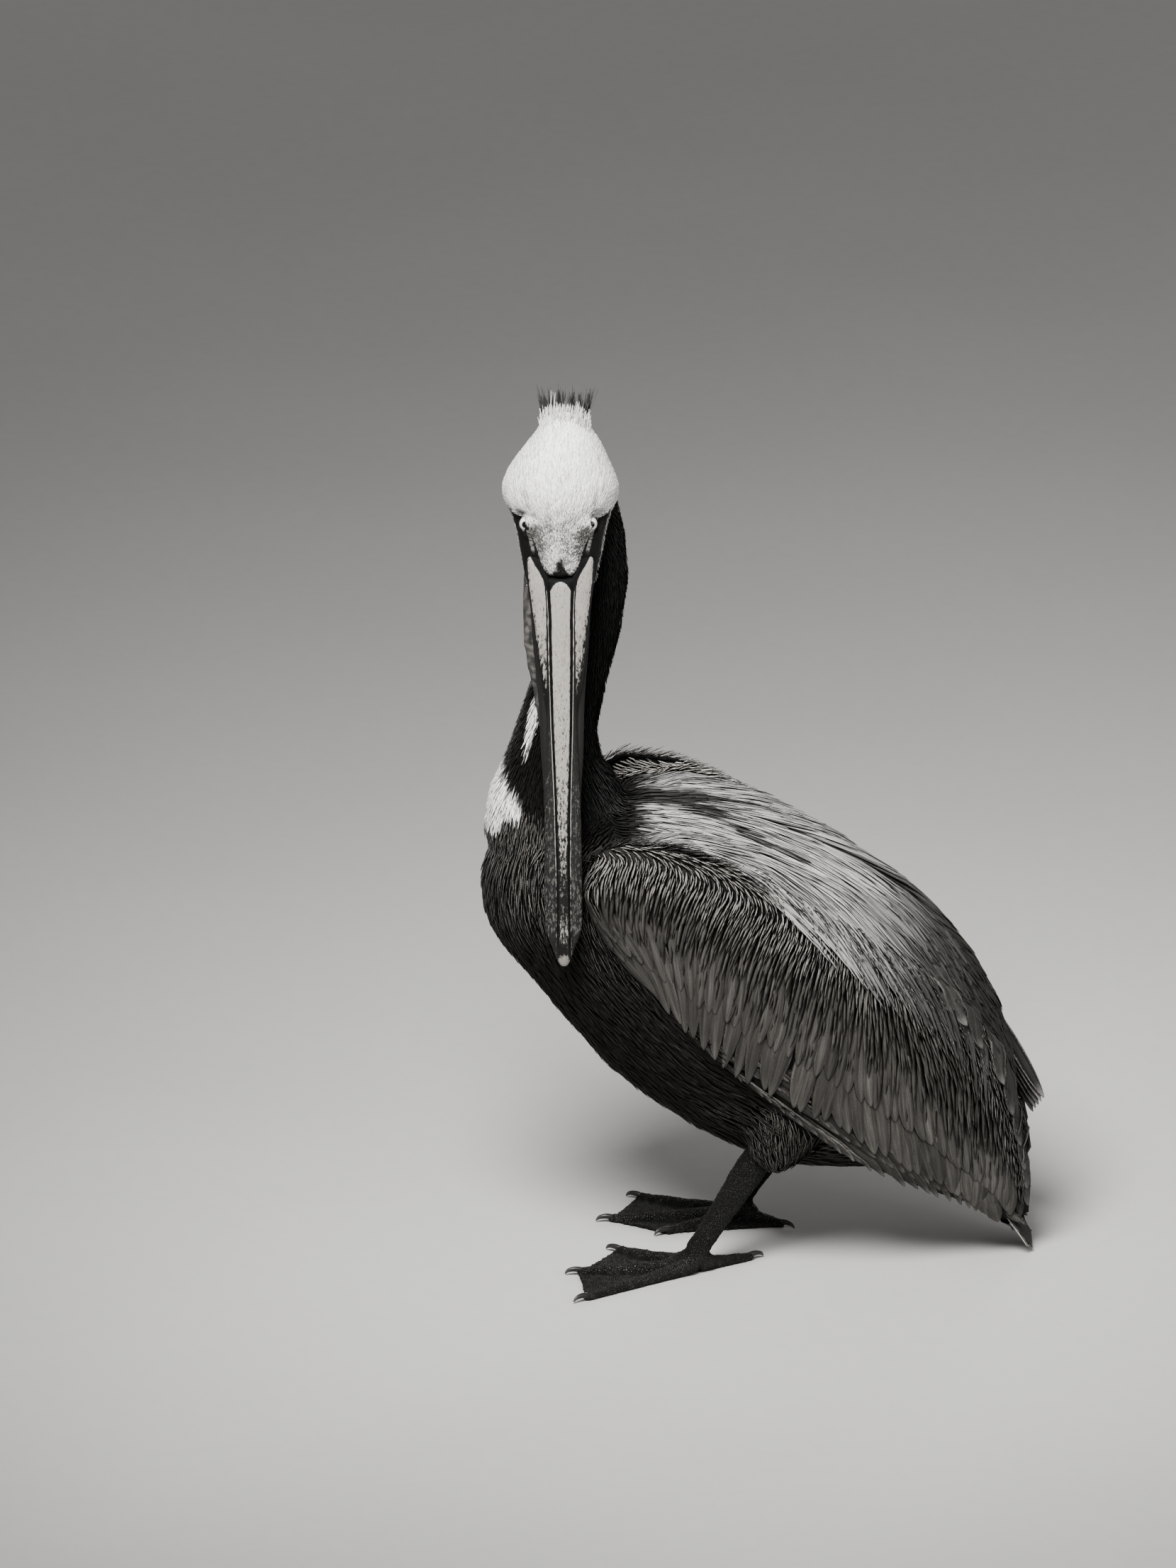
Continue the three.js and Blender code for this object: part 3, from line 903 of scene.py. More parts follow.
@dataclass(frozen=True)
class Horn(Finish):
    """The bill's finish: pale horn that breaks up into dark mottling and dark bands, with painted
    shade in the grooves.
    """

    name: str = "bill horn"
    pale: Colour = light(0.74, 0.35)
    dark: Colour = light(0.1, 0.25)
    mid: Colour = light(0.17, 0.2)

    scratched: Colour = light(0.42, 0.3)
    # near black: painted shade in the grooves, and the dark base
    groove: Colour = light(0.025)

    def write(self, tree: Tree, shader: bpy.types.Node) -> None:
        """Writes the nodes, from the bill's horn attribute: pale, dark and mid shares; the dark share
        is the dark base and the grooves' painted shade.
        """
        light_share, dark_share, mid_share = tree.parts("horn")[:3]
        long, thin = (tree.node("Mapping", tree.local()) for _ in range(2))
        long.inputs["Scale"].default_value = (1.0, 1.0, 0.35)
        thin.inputs["Scale"].default_value = (1.0, 1.0, 0.22)
        blotch = tree.noise(long.outputs[0], 560.0, 6.0, 0.66)
        fine = tree.noise(long.outputs[0], 2000.0, 4.0, 0.6)
        level = tree.math("MULTIPLY_ADD", fine, 0.3, tree.math("MULTIPLY", blotch, 0.85))
        share = tree.math("SUBTRACT", 1.08, light_share)
        pale = tree.step(level, tree.math("SUBTRACT", share, 0.1), tree.math("ADD", share, 0.05))
        scratch = tree.step(tree.noise(thin.outputs[0], 1100.0, 5.0, 0.7), 0.5, 0.68)
        tint = tree.blend(tree.math("MULTIPLY", scratch, 0.6), self.pale, self.scratched)
        stain = tree.math("MULTIPLY_ADD", fine, 0.55, 0.72)
        body = tree.blend(pale, self.dark, tint)
        body = tree.blend(mid_share, body, tree.tinted(self.mid, stain))
        body = tree.blend(dark_share, tree.tinted(body, stain), self.groove)
        rough = tree.math("MULTIPLY_ADD", fine, 0.25, 0.34)
        rough = tree.math("MULTIPLY_ADD", dark_share, 0.35, rough)
        tree.feed_all(shader, {"Base Color": body, "Roughness": rough})
        tree.bump(shader, tree.math("MULTIPLY_ADD", fine, 0.5, blotch), 0.35, 0.0004)


@dataclass(frozen=True)
class EyeGloss(Finish):
    """The eye's finish: a pale iris round a dark pupil under a clear wet surface."""

    name: str = "eye gloss"
    iris: Colour = light(0.86, 0.2)
    pupil: Colour = light(0.03)

    def write(self, tree: Tree, shader: bpy.types.Node) -> None:
        """Writes the nodes, from the eye's gaze attribute: pupil and rim."""
        pupil, rim = tree.parts("gaze")[:2]
        grain = tree.noise(tree.local(), 2500.0, 3.0)
        iris = tree.tinted(self.iris, tree.math("MULTIPLY_ADD", grain, 0.4, 0.75))
        body = tree.blend(rim, tree.blend(pupil, iris, self.pupil), self.pupil)
        tree.feed_all(shader, {"Base Color": body, "Roughness": 0.12, "Coat Weight": 1.0,
                               "Coat Roughness": 0.03})


@dataclass(frozen=True)
class ClawHorn(Finish):
    """The claws' finish: near black horn with a paler worn tip."""

    name: str = "claw horn"
    dark: Colour = light(0.2, 0.3)
    worn: Colour = light(0.5, 0.4)

    def write(self, tree: Tree, shader: bpy.types.Node) -> None:
        """Writes the nodes, from the claw's wear attribute."""
        grain = tree.noise(tree.local(), 1800.0, 4.0)
        share = tree.math("MULTIPLY", tree.parts("wear")[0], tree.math("ADD", grain, 0.35))
        tree.feed_all(shader, {"Base Color": tree.blend(share, self.dark, self.worn),
                               "Roughness": 0.34})
        tree.bump(shader, grain, 0.3, 0.0002)


@dataclass(frozen=True)
class Matt(Finish):
    """The floor's finish: dull, with faint clouds."""

    name: str = "floor"
    tone: Colour = light(0.81, 0.08)

    def write(self, tree: Tree, shader: bpy.types.Node) -> None:
        """Writes the nodes."""
        where = tree.local()
        shade = tree.math("MULTIPLY_ADD", tree.noise(where, 1.3, 4.0), 0.12, 0.9)
        shade = tree.math("MULTIPLY_ADD", tree.noise(where, 60.0, 5.0), 0.06, shade)
        tree.feed_all(shader, {"Base Color": tree.tinted(self.tone, shade), "Roughness": 0.9,
                               "Specular IOR Level": 0.1})


# ---- Markings ----------------------------------------------------------------------------------


@dataclass
class Marks:
    """What feathers or skin look like: a tone, a streak or rim colour, and their shares."""

    tone: Array
    streak: Array
    share: Array
    width: Array
    rim: Array

    @classmethod
    def plain(cls, count: int, tone: Colour, streak: Colour | None = None, share: float = 0.0,
              width: float = 0.4, rim: float = 0.0) -> Marks:
        """The same marks for every feather.

        Args:
            count: how many feathers there are.
            tone: their tone.
            streak: their streak and rim colour.
            share: the streak's share.
            width: the streak's width beside the feather's.
            rim: the rims' share.

        Returns:
            The marks.
        """
        colours = (np.tile(np.array(colour), (count, 1)) for colour in (tone, streak or tone))
        return cls(*colours, *(np.full(count, value) for value in (share, width, rim)))

    def put(self, chosen: Array, part: Marks) -> None:
        """Replaces the marks of some places."""
        for name, rows in vars(part).items():
            getattr(self, name)[chosen] = rows

    def lay(self, share: Array, tone: Colour, streak: Colour | None = None,
            amount: float | Array = 0.0, width: float | Array = 0.35,
            rim: float | Array = 0.0) -> None:
        """Lays another look over this one.

        Args:
            share: how far it covers each place.
            tone: its tone.
            streak: its streak and rim colour.
            amount: its streak's share.
            width: its streak's width beside the feather's.
            rim: its rims' share.
        """
        rows = share[:, None]
        self.tone = mix(self.tone, np.array(tone), rows)
        self.streak = mix(self.streak, np.array(streak or tone), rows)
        self.share = mix(self.share, amount, share)
        self.width = mix(self.width, width, share)
        self.rim = mix(self.rim, rim, share)


@dataclass(frozen=True)
class HeadMarks:
    """Where the face is bare and where the head is white, in head coordinates."""

    wedge: tuple = ((5, 9.5), (8, 11.5), (10, 12.6), (14, 14), (24, 17.5), (33.5, 20.9),
                    (43.7, 25), (53, 27))  # up, half width
    cheek: tuple = ((26, 46), (30, 52), (34, 55.5), (40, 59), (48, 65), (52, 70))  # flank, up
    back: tuple = ((-60, -20), (-20, -15), (10, -14), (40, -11), (60, -6))  # up, out

    def read(self, points: Array) -> tuple[Array, Array, Array]:
        """Sorts places on the head.

        Args:
            points: places in the bird's millimetres.

        Returns:
            Shares of bare face, of white, and of the narrow fringe behind the face.
        """
        along, out, side = HEAD.read(points).T
        up, flank = -along, np.abs(side)
        ragged = 1.3 * wander(points, 7.0, 1) + 0.8 * wander(points, 3.0, 2)
        wedge = ease(0.7, -0.7, flank - table(self.wedge, up) + 0.25 * ragged)
        lobes = 4.0 + 11.5 * np.exp(-((side / 5.2) ** 2)) + 0.09 * (flank - 9.0) ** 2
        wedge = wedge * ease(-0.6, 0.6, up - lobes) * ease(-4, 2, out)
        over = ease(-1.2, 1.2, up - table(self.cheek, flank) + 0.5 * ragged)
        edge = out - table(self.back, up)
        front = ease(-1.5, 1.5, edge + 0.5 * ragged)
        bare = (1 - wedge) * (1 - over) * front
        cheek_back = 50 + np.clip(flank - 37, 0, 12) * 1.3 + np.clip(-14 - out, 0, 60) * 0.75
        behind = ease(-3, 3, up - cheek_back + 2 * ragged) * ease(-46, -38, out + ragged)
        white = np.where(edge > 0, np.maximum(wedge, over), behind)
        fringe = ease(0.0, -1.0, edge) * ease(-3.6, -2.4, edge) * ease(64, 50, up)
        return bare, white, fringe


@dataclass(frozen=True)
class NeckMarks:
    """The white lines beside the throat and the white patch at the foot of the neck."""

    line: tuple = ((443, 47), (484, 38), (530, 27), (574, 18), (619, 14))  # height, degrees
    broad: tuple = ((438, 0), (452, 7), (475, 11), (500, 10), (530, 8), (640, 5))
    patch: tuple = ((388, 14), (396, 34), (408, 50), (418, 52), (428, 34), (436, 8))

    def white(self, points: Array) -> Array:
        """Finds the white of the neck and the breast.

        Args:
            points: places in the bird's millimetres.

        Returns:
            The share of white at each.
        """
        height, turn, _ = NECK.read(points)
        level = np.where(height > 327, height, points[:, 2])
        ragged = wander(points * (1, 1, 0.35), 9.0, 3)
        gap = np.abs(np.abs(turn) - table(self.line, level))
        line = ease(2.5, -2.5, gap - table(self.broad, level) + 1.6 * ragged)
        line = line * ease(441, 447, level) * ease(690, 670, level)
        patch = ease(7, -7, np.abs(turn) - table(self.patch, level) + 9 * ragged)
        patch = patch * ease(386, 393, level) * ease(440, 434, level)
        return np.maximum(line, patch)


@dataclass(frozen=True)
class Markings:
    """The bird's markings, the same for skin and coat."""

    black: Colour = light(0.075, 0.3)
    white: Colour = light(0.95, 0.12)
    bare: Colour = light(0.055, 0.3)
    pouch: Colour = light(0.3, 0.3)
    belly: Colour = light(0.135, 0.5)
    belly_streak: Colour = light(0.34, 0.4)
    thigh: Colour = light(0.1, 0.4)
    rump: Colour = light(0.2, 0.4)
    rump_streak: Colour = light(0.46, 0.3)
    tail: Colour = light(0.34, 0.4)
    tail_streak: Colour = light(0.66, 0.3)
    streak: Colour = light(0.66, 0.35)
    silver: Colour = light(0.36, 0.12)
    silver_rim: Colour = light(0.8, 0.1)
    covert: Colour = light(0.29, 0.4)
    covert_streak: Colour = light(0.44, 0.35)
    parting: tuple = ((-90, 376), (-70, 375), (-52, 374), (-32, 368), (-9, 357), (45, 336),
                      (67, 325), (130, 292))
    parting_wide: tuple = ((-90, 8), (-70, 7), (-52, 5.5), (-32, 4.0), (-10, 2.6), (15, 1.6),
                           (60, 0.8))
    bib_rear: float = -69.0
    bib_low: tuple = ((-190, 388), (-150, 367), (-110, 346), (-60, 341))  # its lower edge
    spine: tuple = ((-100, 372), (0, 330), (80, 290), (180, 190), (240, 90))  # where back starts
    # brow: where the painted shade of the crease above each eye runs
    brow: tuple = ((60, 26.5), (90, 31))  # up, flank
    face_line: tuple = ((24, 22.0), (34, 24.2), (43, 26.6))  # up, flank
    head: HeadMarks = field(default_factory=HeadMarks)
    neck: NeckMarks = field(default_factory=NeckMarks)

    def at(self, points: Array, region: Array) -> Marks:
        """The marks at points of the bird.

        Args:
            points: places in the bird's millimetres.
            region: the name of the flesh node that each lies in.

        Returns:
            Their marks.
        """
        marks = Marks.plain(len(points), self.black)
        for name, lay in (("trunk", self._trunk), ("thigh", self._thigh), ("neck", self._neck),
                          ("scapulars", self._mantle), ("wing", self._wing),
                          ("tail", self._tail), ("head", self._head), ("pouch", self._pouch)):
            chosen = np.flatnonzero(np.char.startswith(region, name))
            if len(chosen):
                marks.put(chosen, lay(points[chosen]))
        return marks

    def bib(self, points: Array) -> Array:
        """Finds the black velvet bib round the foot of the neck.

        Args:
            points: places in the bird's millimetres.

        Returns:
            The bib's share at each.
        """
        ragged = 4 * wander(points, 14.0, 5)
        low = seen_height(points) - table(self.bib_low, points[:, 1])
        return ease(6, -6, points[:, 1] - self.bib_rear + ragged) * ease(-6, 6, low + ragged)

    def over_spine(self, points: Array) -> Array:
        """How far points of the trunk lie over the edge between flank and back."""
        return points[:, 2] - table(self.spine, points[:, 1])

    # Each method below takes places in the bird's millimetres and returns their marks.

    def _trunk(self, points: Array) -> Marks:
        """Streaked breast, dark belly, silver back and dark rump."""
        marks = Marks.plain(len(points), self.belly, self.belly_streak, 0.06, 0.2)
        flank, seen = np.abs(points[:, 0]), seen_height(points)
        breast = np.maximum(ease(225, 300, seen) * ease(-70, -100, points[:, 1]),
                            0.7 * ease(20, 60, flank) * ease(170, 260, seen)
                            * ease(-125, -105, points[:, 1]))
        marks.lay(breast, self.black, self.streak, 0.75, 0.24)
        loin = ease(-45, -10, points[:, 1]) * ease(180, 150, points[:, 2])
        marks.lay(loin * ease(30, 60, flank), self.black, self.streak, 0.6, 0.2)
        back = ease(-90, -60, points[:, 1]) * ease(0.0, 18.0, self.over_spine(points))
        over = np.flatnonzero(back * (1 + 0.5 * wander(points, 6.0, 17)) > 0.35)
        if len(over):
            marks.put(over, self._mantle(points[over]))
        rump = ease(150, 190, points[:, 1])
        marks.lay(rump, self.rump, self.rump_streak, 0.1, 0.3, 0.6)
        marks.lay(self.bib(points), self.black)
        marks.lay(self.neck.white(points), self.white)
        return marks

    def _thigh(self, points: Array) -> Marks:
        """Thin pale streaks on dark."""
        return Marks.plain(len(points), self.thigh, self.streak, 0.8, 0.3)

    def _neck(self, points: Array) -> Marks:
        """Black velvet with white lines and patch, streaked below the bib."""
        marks = Marks.plain(len(points), self.black)
        marks.lay(1 - self.bib(points), self.black, self.streak, 0.85, 0.3)
        marks.lay(self.neck.white(points), self.white)
        return marks

    def _mantle(self, points: Array) -> Marks:
        """Silver plumes with dark edges, a dark parting, and dark ones beside the bib."""
        marks = Marks.plain(len(points), self.silver, self.silver_rim, 0.9, 0.95)
        dull = 0.5 + 0.5 * wander(points, 60.0, 7)
        marks.lay(dull * 0.35, light(0.3, 0.15), light(0.62, 0.12), 0.85, 0.8)
        back, seen = points[:, 1], seen_height(points)
        wide = table(self.parting_wide, back)
        off = seen - table(self.parting, back)
        off = off + 0.25 * wide * wander(points * (1, 0.3, 1), 5.0, 18)
        band = ease(1.15, 0.7, np.abs(off) / wide) * ease(75, 20, back)
        marks.lay(0.92 * band, light(0.07, 0.3), light(0.42, 0.2), 0.6, 0.3)
        start = ease(-64, -77, back) * ease(388, 382, seen)
        marks.lay(0.92 * start, light(0.07, 0.3), light(0.6, 0.15), 0.75, 0.3)
        marks.lay(0.9 * ease(55, 150, back), light(0.17, 0.3), light(0.4, 0.2), 0.5, 0.8, 0.8)
        marks.lay(self.bib(points), self.black)
        return marks

    def _wing(self, points: Array) -> Marks:
        """Dark lesser coverts with pale streaks, then grey-brown ones with softer streaks; the far
        wing's ridge streaks are painted lighter, painted light on a ridge turned from the key lamp.
        """
        marks = Marks.plain(len(points), self.covert, self.covert_streak, 0.75, 0.75)
        side = Side.LEFT if points[:, 0].mean() > 0 else Side.RIGHT
        along, down = WING.read(points, side).T
        marks.share -= 0.2 * ease(0.2, 0.4, down)
        ridge = ease(0.25, 0.12, down + 0.03 * wander(points, 30.0, 4))
        # the ridge's pale streaks; on the far wing they are painted lighter, painted light on its
        # ridge, which turns from the key lamp
        ridge_streak_with_painted_light = light(0.68 if side is Side.LEFT else 0.85, 0.3)
        marks.lay(ridge, light(0.075, 0.3), ridge_streak_with_painted_light, 0.95, 0.55)
        tip = ease(0.7, 0.95, along)
        marks.lay(0.7 * tip, light(0.22, 0.4), light(0.55, 0.3), 0.5, 0.3, 0.6)
        return marks

    def _tail(self, points: Array) -> Marks:
        """Dark grey-brown with pale rims."""
        return Marks.plain(len(points), self.tail, self.tail_streak, 0.0, 0.3, 0.8)

    def _head(self, points: Array) -> Marks:
        """White crown and cheeks, black bare face and dark nape; a grey flecked forehead with painted
        shadow at its feathers' tips and painted shade towards the point's sides, and painted shade in
        the crease over each eye.
        """
        marks = Marks.plain(len(points), self.black)
        bare, white, fringe = self.head.read(points)
        marks.lay(white, self.white)
        marks.lay(fringe, self.white)
        along, _, side = HEAD.read(points).T
        up, flank = -along, np.abs(side)
        low = white * ease(66, 40, up + 5 * wander(points, 16.0, 12))
        fleck = ease(-0.5, 0.7, wander(points * (1.0, 0.5, 1.8), 2.6, 11)
                     + 0.6 * wander(points, 10.0, 13))
        # painted shade: the grey grows towards the sides of the feathered point over the bill
        edge = np.clip(flank / table(self.head.wedge, up), 0, 1)
        grey = ease(0.3, 0.9, edge) * ease(16, 26, up) * ease(50, 40, up)
        dull = low * np.clip(0.36 + 0.5 * fleck + 0.45 * grey, 0, 1)
        # the grey feathers' rims and tips are painted near black, painted shadow lines between the
        # small feathers' tips
        marks.lay(dull, light(0.55, 0.2), light(0.1, 0.2), 0.0, 0.3, 0.9)
        # painted shade in the crease that runs up from each eye between the forehead and the cheek
        brow = np.exp(-(((flank - table(self.brow, up)) / 1.6) ** 2))
        brow = brow * ease(58, 62, up) * ease(86, 70, up)
        marks.lay(0.45 * brow * white, light(0.4, 0.2))
        marks.lay(bare, self.bare)
        streak = np.abs(flank - table(self.face_line, up)) / 1.9
        spots = ease(-0.5, 0.2, wander(points, 2.4, 14) + 0.2)
        marks.lay(bare * ease(1.0, 0.5, streak) * ease(24, 28, up) * ease(46, 43, up) * spots,
                  light(0.72, 0.25))
        return marks

    def _pouch(self, points: Array) -> Marks:
        """Grey throat skin with paler blotches."""
        marks = Marks.plain(len(points), self.pouch)
        along = HEAD.read(points)[:, 0]
        high = ease(110, 50, along)
        marks.lay(0.6 * high, light(0.42, 0.3))
        blotch = ease(0.1, 0.5, wander(points, 6.0, 6) + 0.25 * high)
        marks.lay(0.8 * blotch, light(0.6, 0.3))
        marks.lay(0.75 * ease(0.25, 0.6, wander(points, 9.0, 8)), light(0.13, 0.3))
        return marks


MARKINGS = Markings()


# ---- The skin ----------------------------------------------------------------------------------


@dataclass
class Sites:
    """Places on the skin where feathers grow."""

    place: Array
    normal: Array
    region: Array
    depth: Array
    patch: Array  # their places on the skin's unwrap

    def pick(self, chosen: Array) -> "Sites":
        """Keeps some of the sites."""
        return Sites(self.place[chosen], self.normal[chosen], self.region[chosen],
                     self.depth[chosen], self.patch[chosen])


@dataclass
class FootShape:
    """One leg: its joints and toes, in the bird's millimetres."""

    side: Side
    joint: tuple
    ankle: tuple
    toes: dict[str, tuple]  # turn from straight ahead in degrees, and length

    toe_rows = ((0.0, 9.0, 9.0), (0.2, 6.2, 6.4), (0.45, 4.7, 5.1), (0.75, 3.9, 4.2),
                (1.0, 3.4, 3.5))
    shank_rows = ((-0.08, 9.9, 9.9), (0.2, 9.0, 9.4), (0.6, 9.9, 11.25), (0.95, 11.2, 13.0),
                  (1.25, 9.9, 10.8))
    balls = (("outer", 24.0, 9.0), ("middle", 26.0, 9.6), ("inner", 22.0, 9.0),
             ("hind", 15.0, 8.8))
    toe_sink: float = 0.6
    web_reach: float = 0.995
    web_scallop: float = 0.015
    web_thick: float = 2.0
    web_top: float = 3.0

    def heading(self, name: str) -> Array:
        """The direction of a toe along the floor."""
        turn = math.radians(self.toes[name][0])
        return np.array((self.side.value * math.sin(turn), -math.cos(turn), 0.0))

    def point(self, name: str, reach: Array | float, up: Array | float = 0.0) -> Array:
        """Finds points along a toe.

        Args:
            name: the toe's name.
            reach: how far along the floor from the joint.
            up: how high over the floor.

        Returns:
            One row for each point, or a single one.
        """
        reach, up = np.broadcast_arrays(np.asarray(reach, float), np.asarray(up, float))
        start = np.array((self.joint[0], self.joint[1], 0.0))
        return start + reach[..., None] * self.heading(name) + up[..., None] * np.array((0, 0, 1))

    def knuckle(self, share: Array) -> Array:
        """The swelling of a toe's joints."""
        places = np.array((0.3, 0.58, 0.84))
        return np.exp(-(((share[:, None] - places) / 0.035) ** 2)).sum(1)

    def toe(self, name: str) -> bmesh.types.BMesh:
        """Builds a toe with its knuckles and scutes.

        Args:
            name: the toe's name.

        Returns:
            Its closed mesh.
        """
        heading, length = self.heading(name), self.toes[name][1]
        rows = [(*self.point(name, length * share, tall - self.toe_sink), wide, tall)
                for share, wide, tall in self.toe_rows]
        across = (-heading[1], heading[0], 0.0)
        sweep = Sweep(rows, across, 20, 40, caps=(0.1, 0.06))
        return sweep.mesh(lambda share, side, up: 0.5 * self.knuckle(share) + (up > 0) * 0.3
                          * np.abs(np.sin(share * length * math.pi / 4.4)))

    def web(self, first: str, second: str) -> bmesh.types.BMesh:
        """Builds the skin stretched between two toes, with slack folds.

        Args:
            first: a toe's name.
            second: its neighbour's name.

        Returns:
            Its closed mesh.
        """
        bm = bmesh.new()
        bmesh.ops.create_grid(bm, x_segments=26, y_segments=34, size=1.0)
        flat = bm_places(bm)
        reach, between = (flat[:, 0] + 1) / 2, (flat[:, 1] + 1) / 2
        arch = 4 * between * (1 - between)
        reach = (0.04 + 0.96 * reach) * (1 - self.web_scallop * arch)
        edges = [self.point(name, reach * self.toes[name][1] * self.web_reach)
                 for name in (first, second)]
        spots = mix(edges[0], edges[1], between[:, None])
        folds = np.sin(between * math.pi * 9 + 3 * reach) * arch * (0.3 + 0.5 * reach)
        spots[:, 2] = self.web_top + 0.35 * folds
        move_places(bm, spots)
        bmesh.ops.recalc_face_normals(bm, faces=bm.faces[:])
        if bm.faces[:][0].normal.z < 0:
            bmesh.ops.reverse_faces(bm, faces=bm.faces[:])
        bmesh.ops.solidify(bm, geom=bm.verts[:] + bm.edges[:] + bm.faces[:],
                           thickness=self.web_thick)
        return bm

    def shank(self) -> bmesh.types.BMesh:
        """Builds the shank up to the ankle, and a little of what the thigh's feathers cover.

        Returns:
            Its closed mesh.
        """
        joint, ankle = np.array(self.joint, float), np.array(self.ankle, float)
        rows = [(*(joint + (ankle - joint) * share), wide, tall)
                for share, wide, tall in self.shank_rows]
        return Sweep(rows, around=28, along=40, caps=(0.12, 0.1)).mesh()

    def ball(self, name: str, reach: float, wide: float) -> bmesh.types.BMesh:
        """Builds the flesh that carries the shank over into a toe.

        Args:
            name: the toe's name.
            reach: how far along the toe it runs.
            wide: its half width at the joint.

        Returns:
            Its closed mesh.
        """
        low = self.point(name, np.array((reach * 0.5, reach)), np.array((8.6, 6.0)))
        rows = [(*self.joint[:2], self.joint[2] + 7.0, wide * 0.96, wide * 0.96),
                (*self.joint[:2], self.joint[2] - 4.0, wide, wide),
                (*low[0], wide * 0.95, wide * 0.86), (*low[1], wide * 0.7, wide * 0.6)]
        return Sweep(rows, around=24, along=24, caps=(0.1, 0.1)).mesh()

    def bodies(self) -> list[bmesh.types.BMesh]:
        """Builds all the closed bodies of the leg.

        Returns:
            Their meshes, which overlap.
        """
        names = list(self.toes)
        webs = [self.web(*pair) for pair in zip(names, names[1:])]
        balls = [self.ball(*row) for row in self.balls]
        return [self.shank(), *(self.toe(name) for name in names), *webs, *balls]


FEET = (
    FootShape(Side.LEFT, (60, -9, 20), (50, 37, 91),
              {"outer": (35.57, 117), "middle": (5, 101), "inner": (-32, 80),
               "hind": (-150, 54)}),
    FootShape(Side.RIGHT, (-60, 28, 20), (-50, 72, 91),
              {"outer": (27, 98), "middle": (-4, 112), "inner": (-30, 74), "hind": (-150, 42)}),
)


@dataclass
class Eyes:
    """The eyes and the lids round them, in the bird's millimetres."""

    up: float = 48.7
    out: float = 5.0
    spread: float = 25.9
    radius: float = 6.3
    axis: tuple = (-0.05, 0.30, 0.95)  # along, out, to the side
    gaze: tuple = (0.0, 0.97, 0.24)
    shift: float = -1.7  # both eyes sit a little to the head's right
    iris: float = 12.0
    pupil: float = 2.9
    lid: tuple = ((0.0, 0.8), (5.1, 0.8), (5.7, 2.8), (6.4, 3.3), (7.3, 2.8), (9.2, 2.0))
    blend: tuple = (8.0, 13.0)

    def centre(self, side: Side) -> Array:
        """The middle of one eye."""
        return HEAD.place(-self.up, self.out, self.spread * side.value + self.shift)

    def direction(self, parts: tuple, side: Side) -> Array:
        """A direction given in head coordinates, mirrored for the side."""
        turned = np.array((parts[0], parts[1], parts[2] * side.value)) @ HEAD.axes
        return unit(turned)

    def away(self, points: Array) -> Array:
        """How far points lie from the surface of the nearer eyeball."""
        gaps = [np.linalg.norm(points - self.centre(side), axis=1) for side in Side]
        return np.minimum(*gaps) - self.radius

    def ring(self, points: Array) -> Array:
        """The share of the pale lids round the eyes."""
        return ease(1.0, 0.5, self.away(points))

    def lids(self, points: Array) -> Array:
        """Which points lie on the bare lids."""
        return self.away(points) < 1.9

    def shape_lids(self, spots: Array) -> Array:
        """Sinks sockets into the skin and raises the lids' rims round the eyes.

        Args:
            spots: the skin's places, which are changed.

        Returns:
            The same places.
        """
        for side in Side:
            axis, centre = self.direction(self.axis, side), self.centre(side)
            offset = spots - centre
            rise = offset @ axis
            radius = np.linalg.norm(offset - rise[:, None] * axis, axis=1)
            near = (radius < self.blend[1]) & (rise > -6)
            keep = ease(*self.blend, radius)
            wanted = mix(table(self.lid, radius), rise, keep)
            spots[near] += ((wanted - rise)[:, None] * axis)[near]
        return spots

    def build(self, side: Side) -> bpy.types.Object:
        """Builds one eyeball with its iris and pupil marked.

        Args:
            side: the eye's side.

        Returns:
            The eyeball.
        """
        bm = bmesh.new()
        bmesh.ops.create_icosphere(bm, subdivisions=5, radius=self.radius)
        bmesh.ops.translate(bm, verts=bm.verts[:], vec=Vector(self.centre(side)))
        eye = make_piece(f"eyeball_{side.word}", bm)
        offset = unit(to_bird(get_places(eye.data)) - self.centre(side))
        away = self.radius * np.arccos(np.clip(offset @ self.direction(self.gaze, side), -1, 1))
        pupil = ease(self.pupil + 0.25, self.pupil - 0.25, away)
        rim = 0.85 * ease(self.iris - 0.5, self.iris + 0.4, away)
        set_colour(eye.data, "gaze", np.stack((pupil, rim, 0 * rim), -1))
        eye.data.materials.append(EyeGloss().material())
        return eye


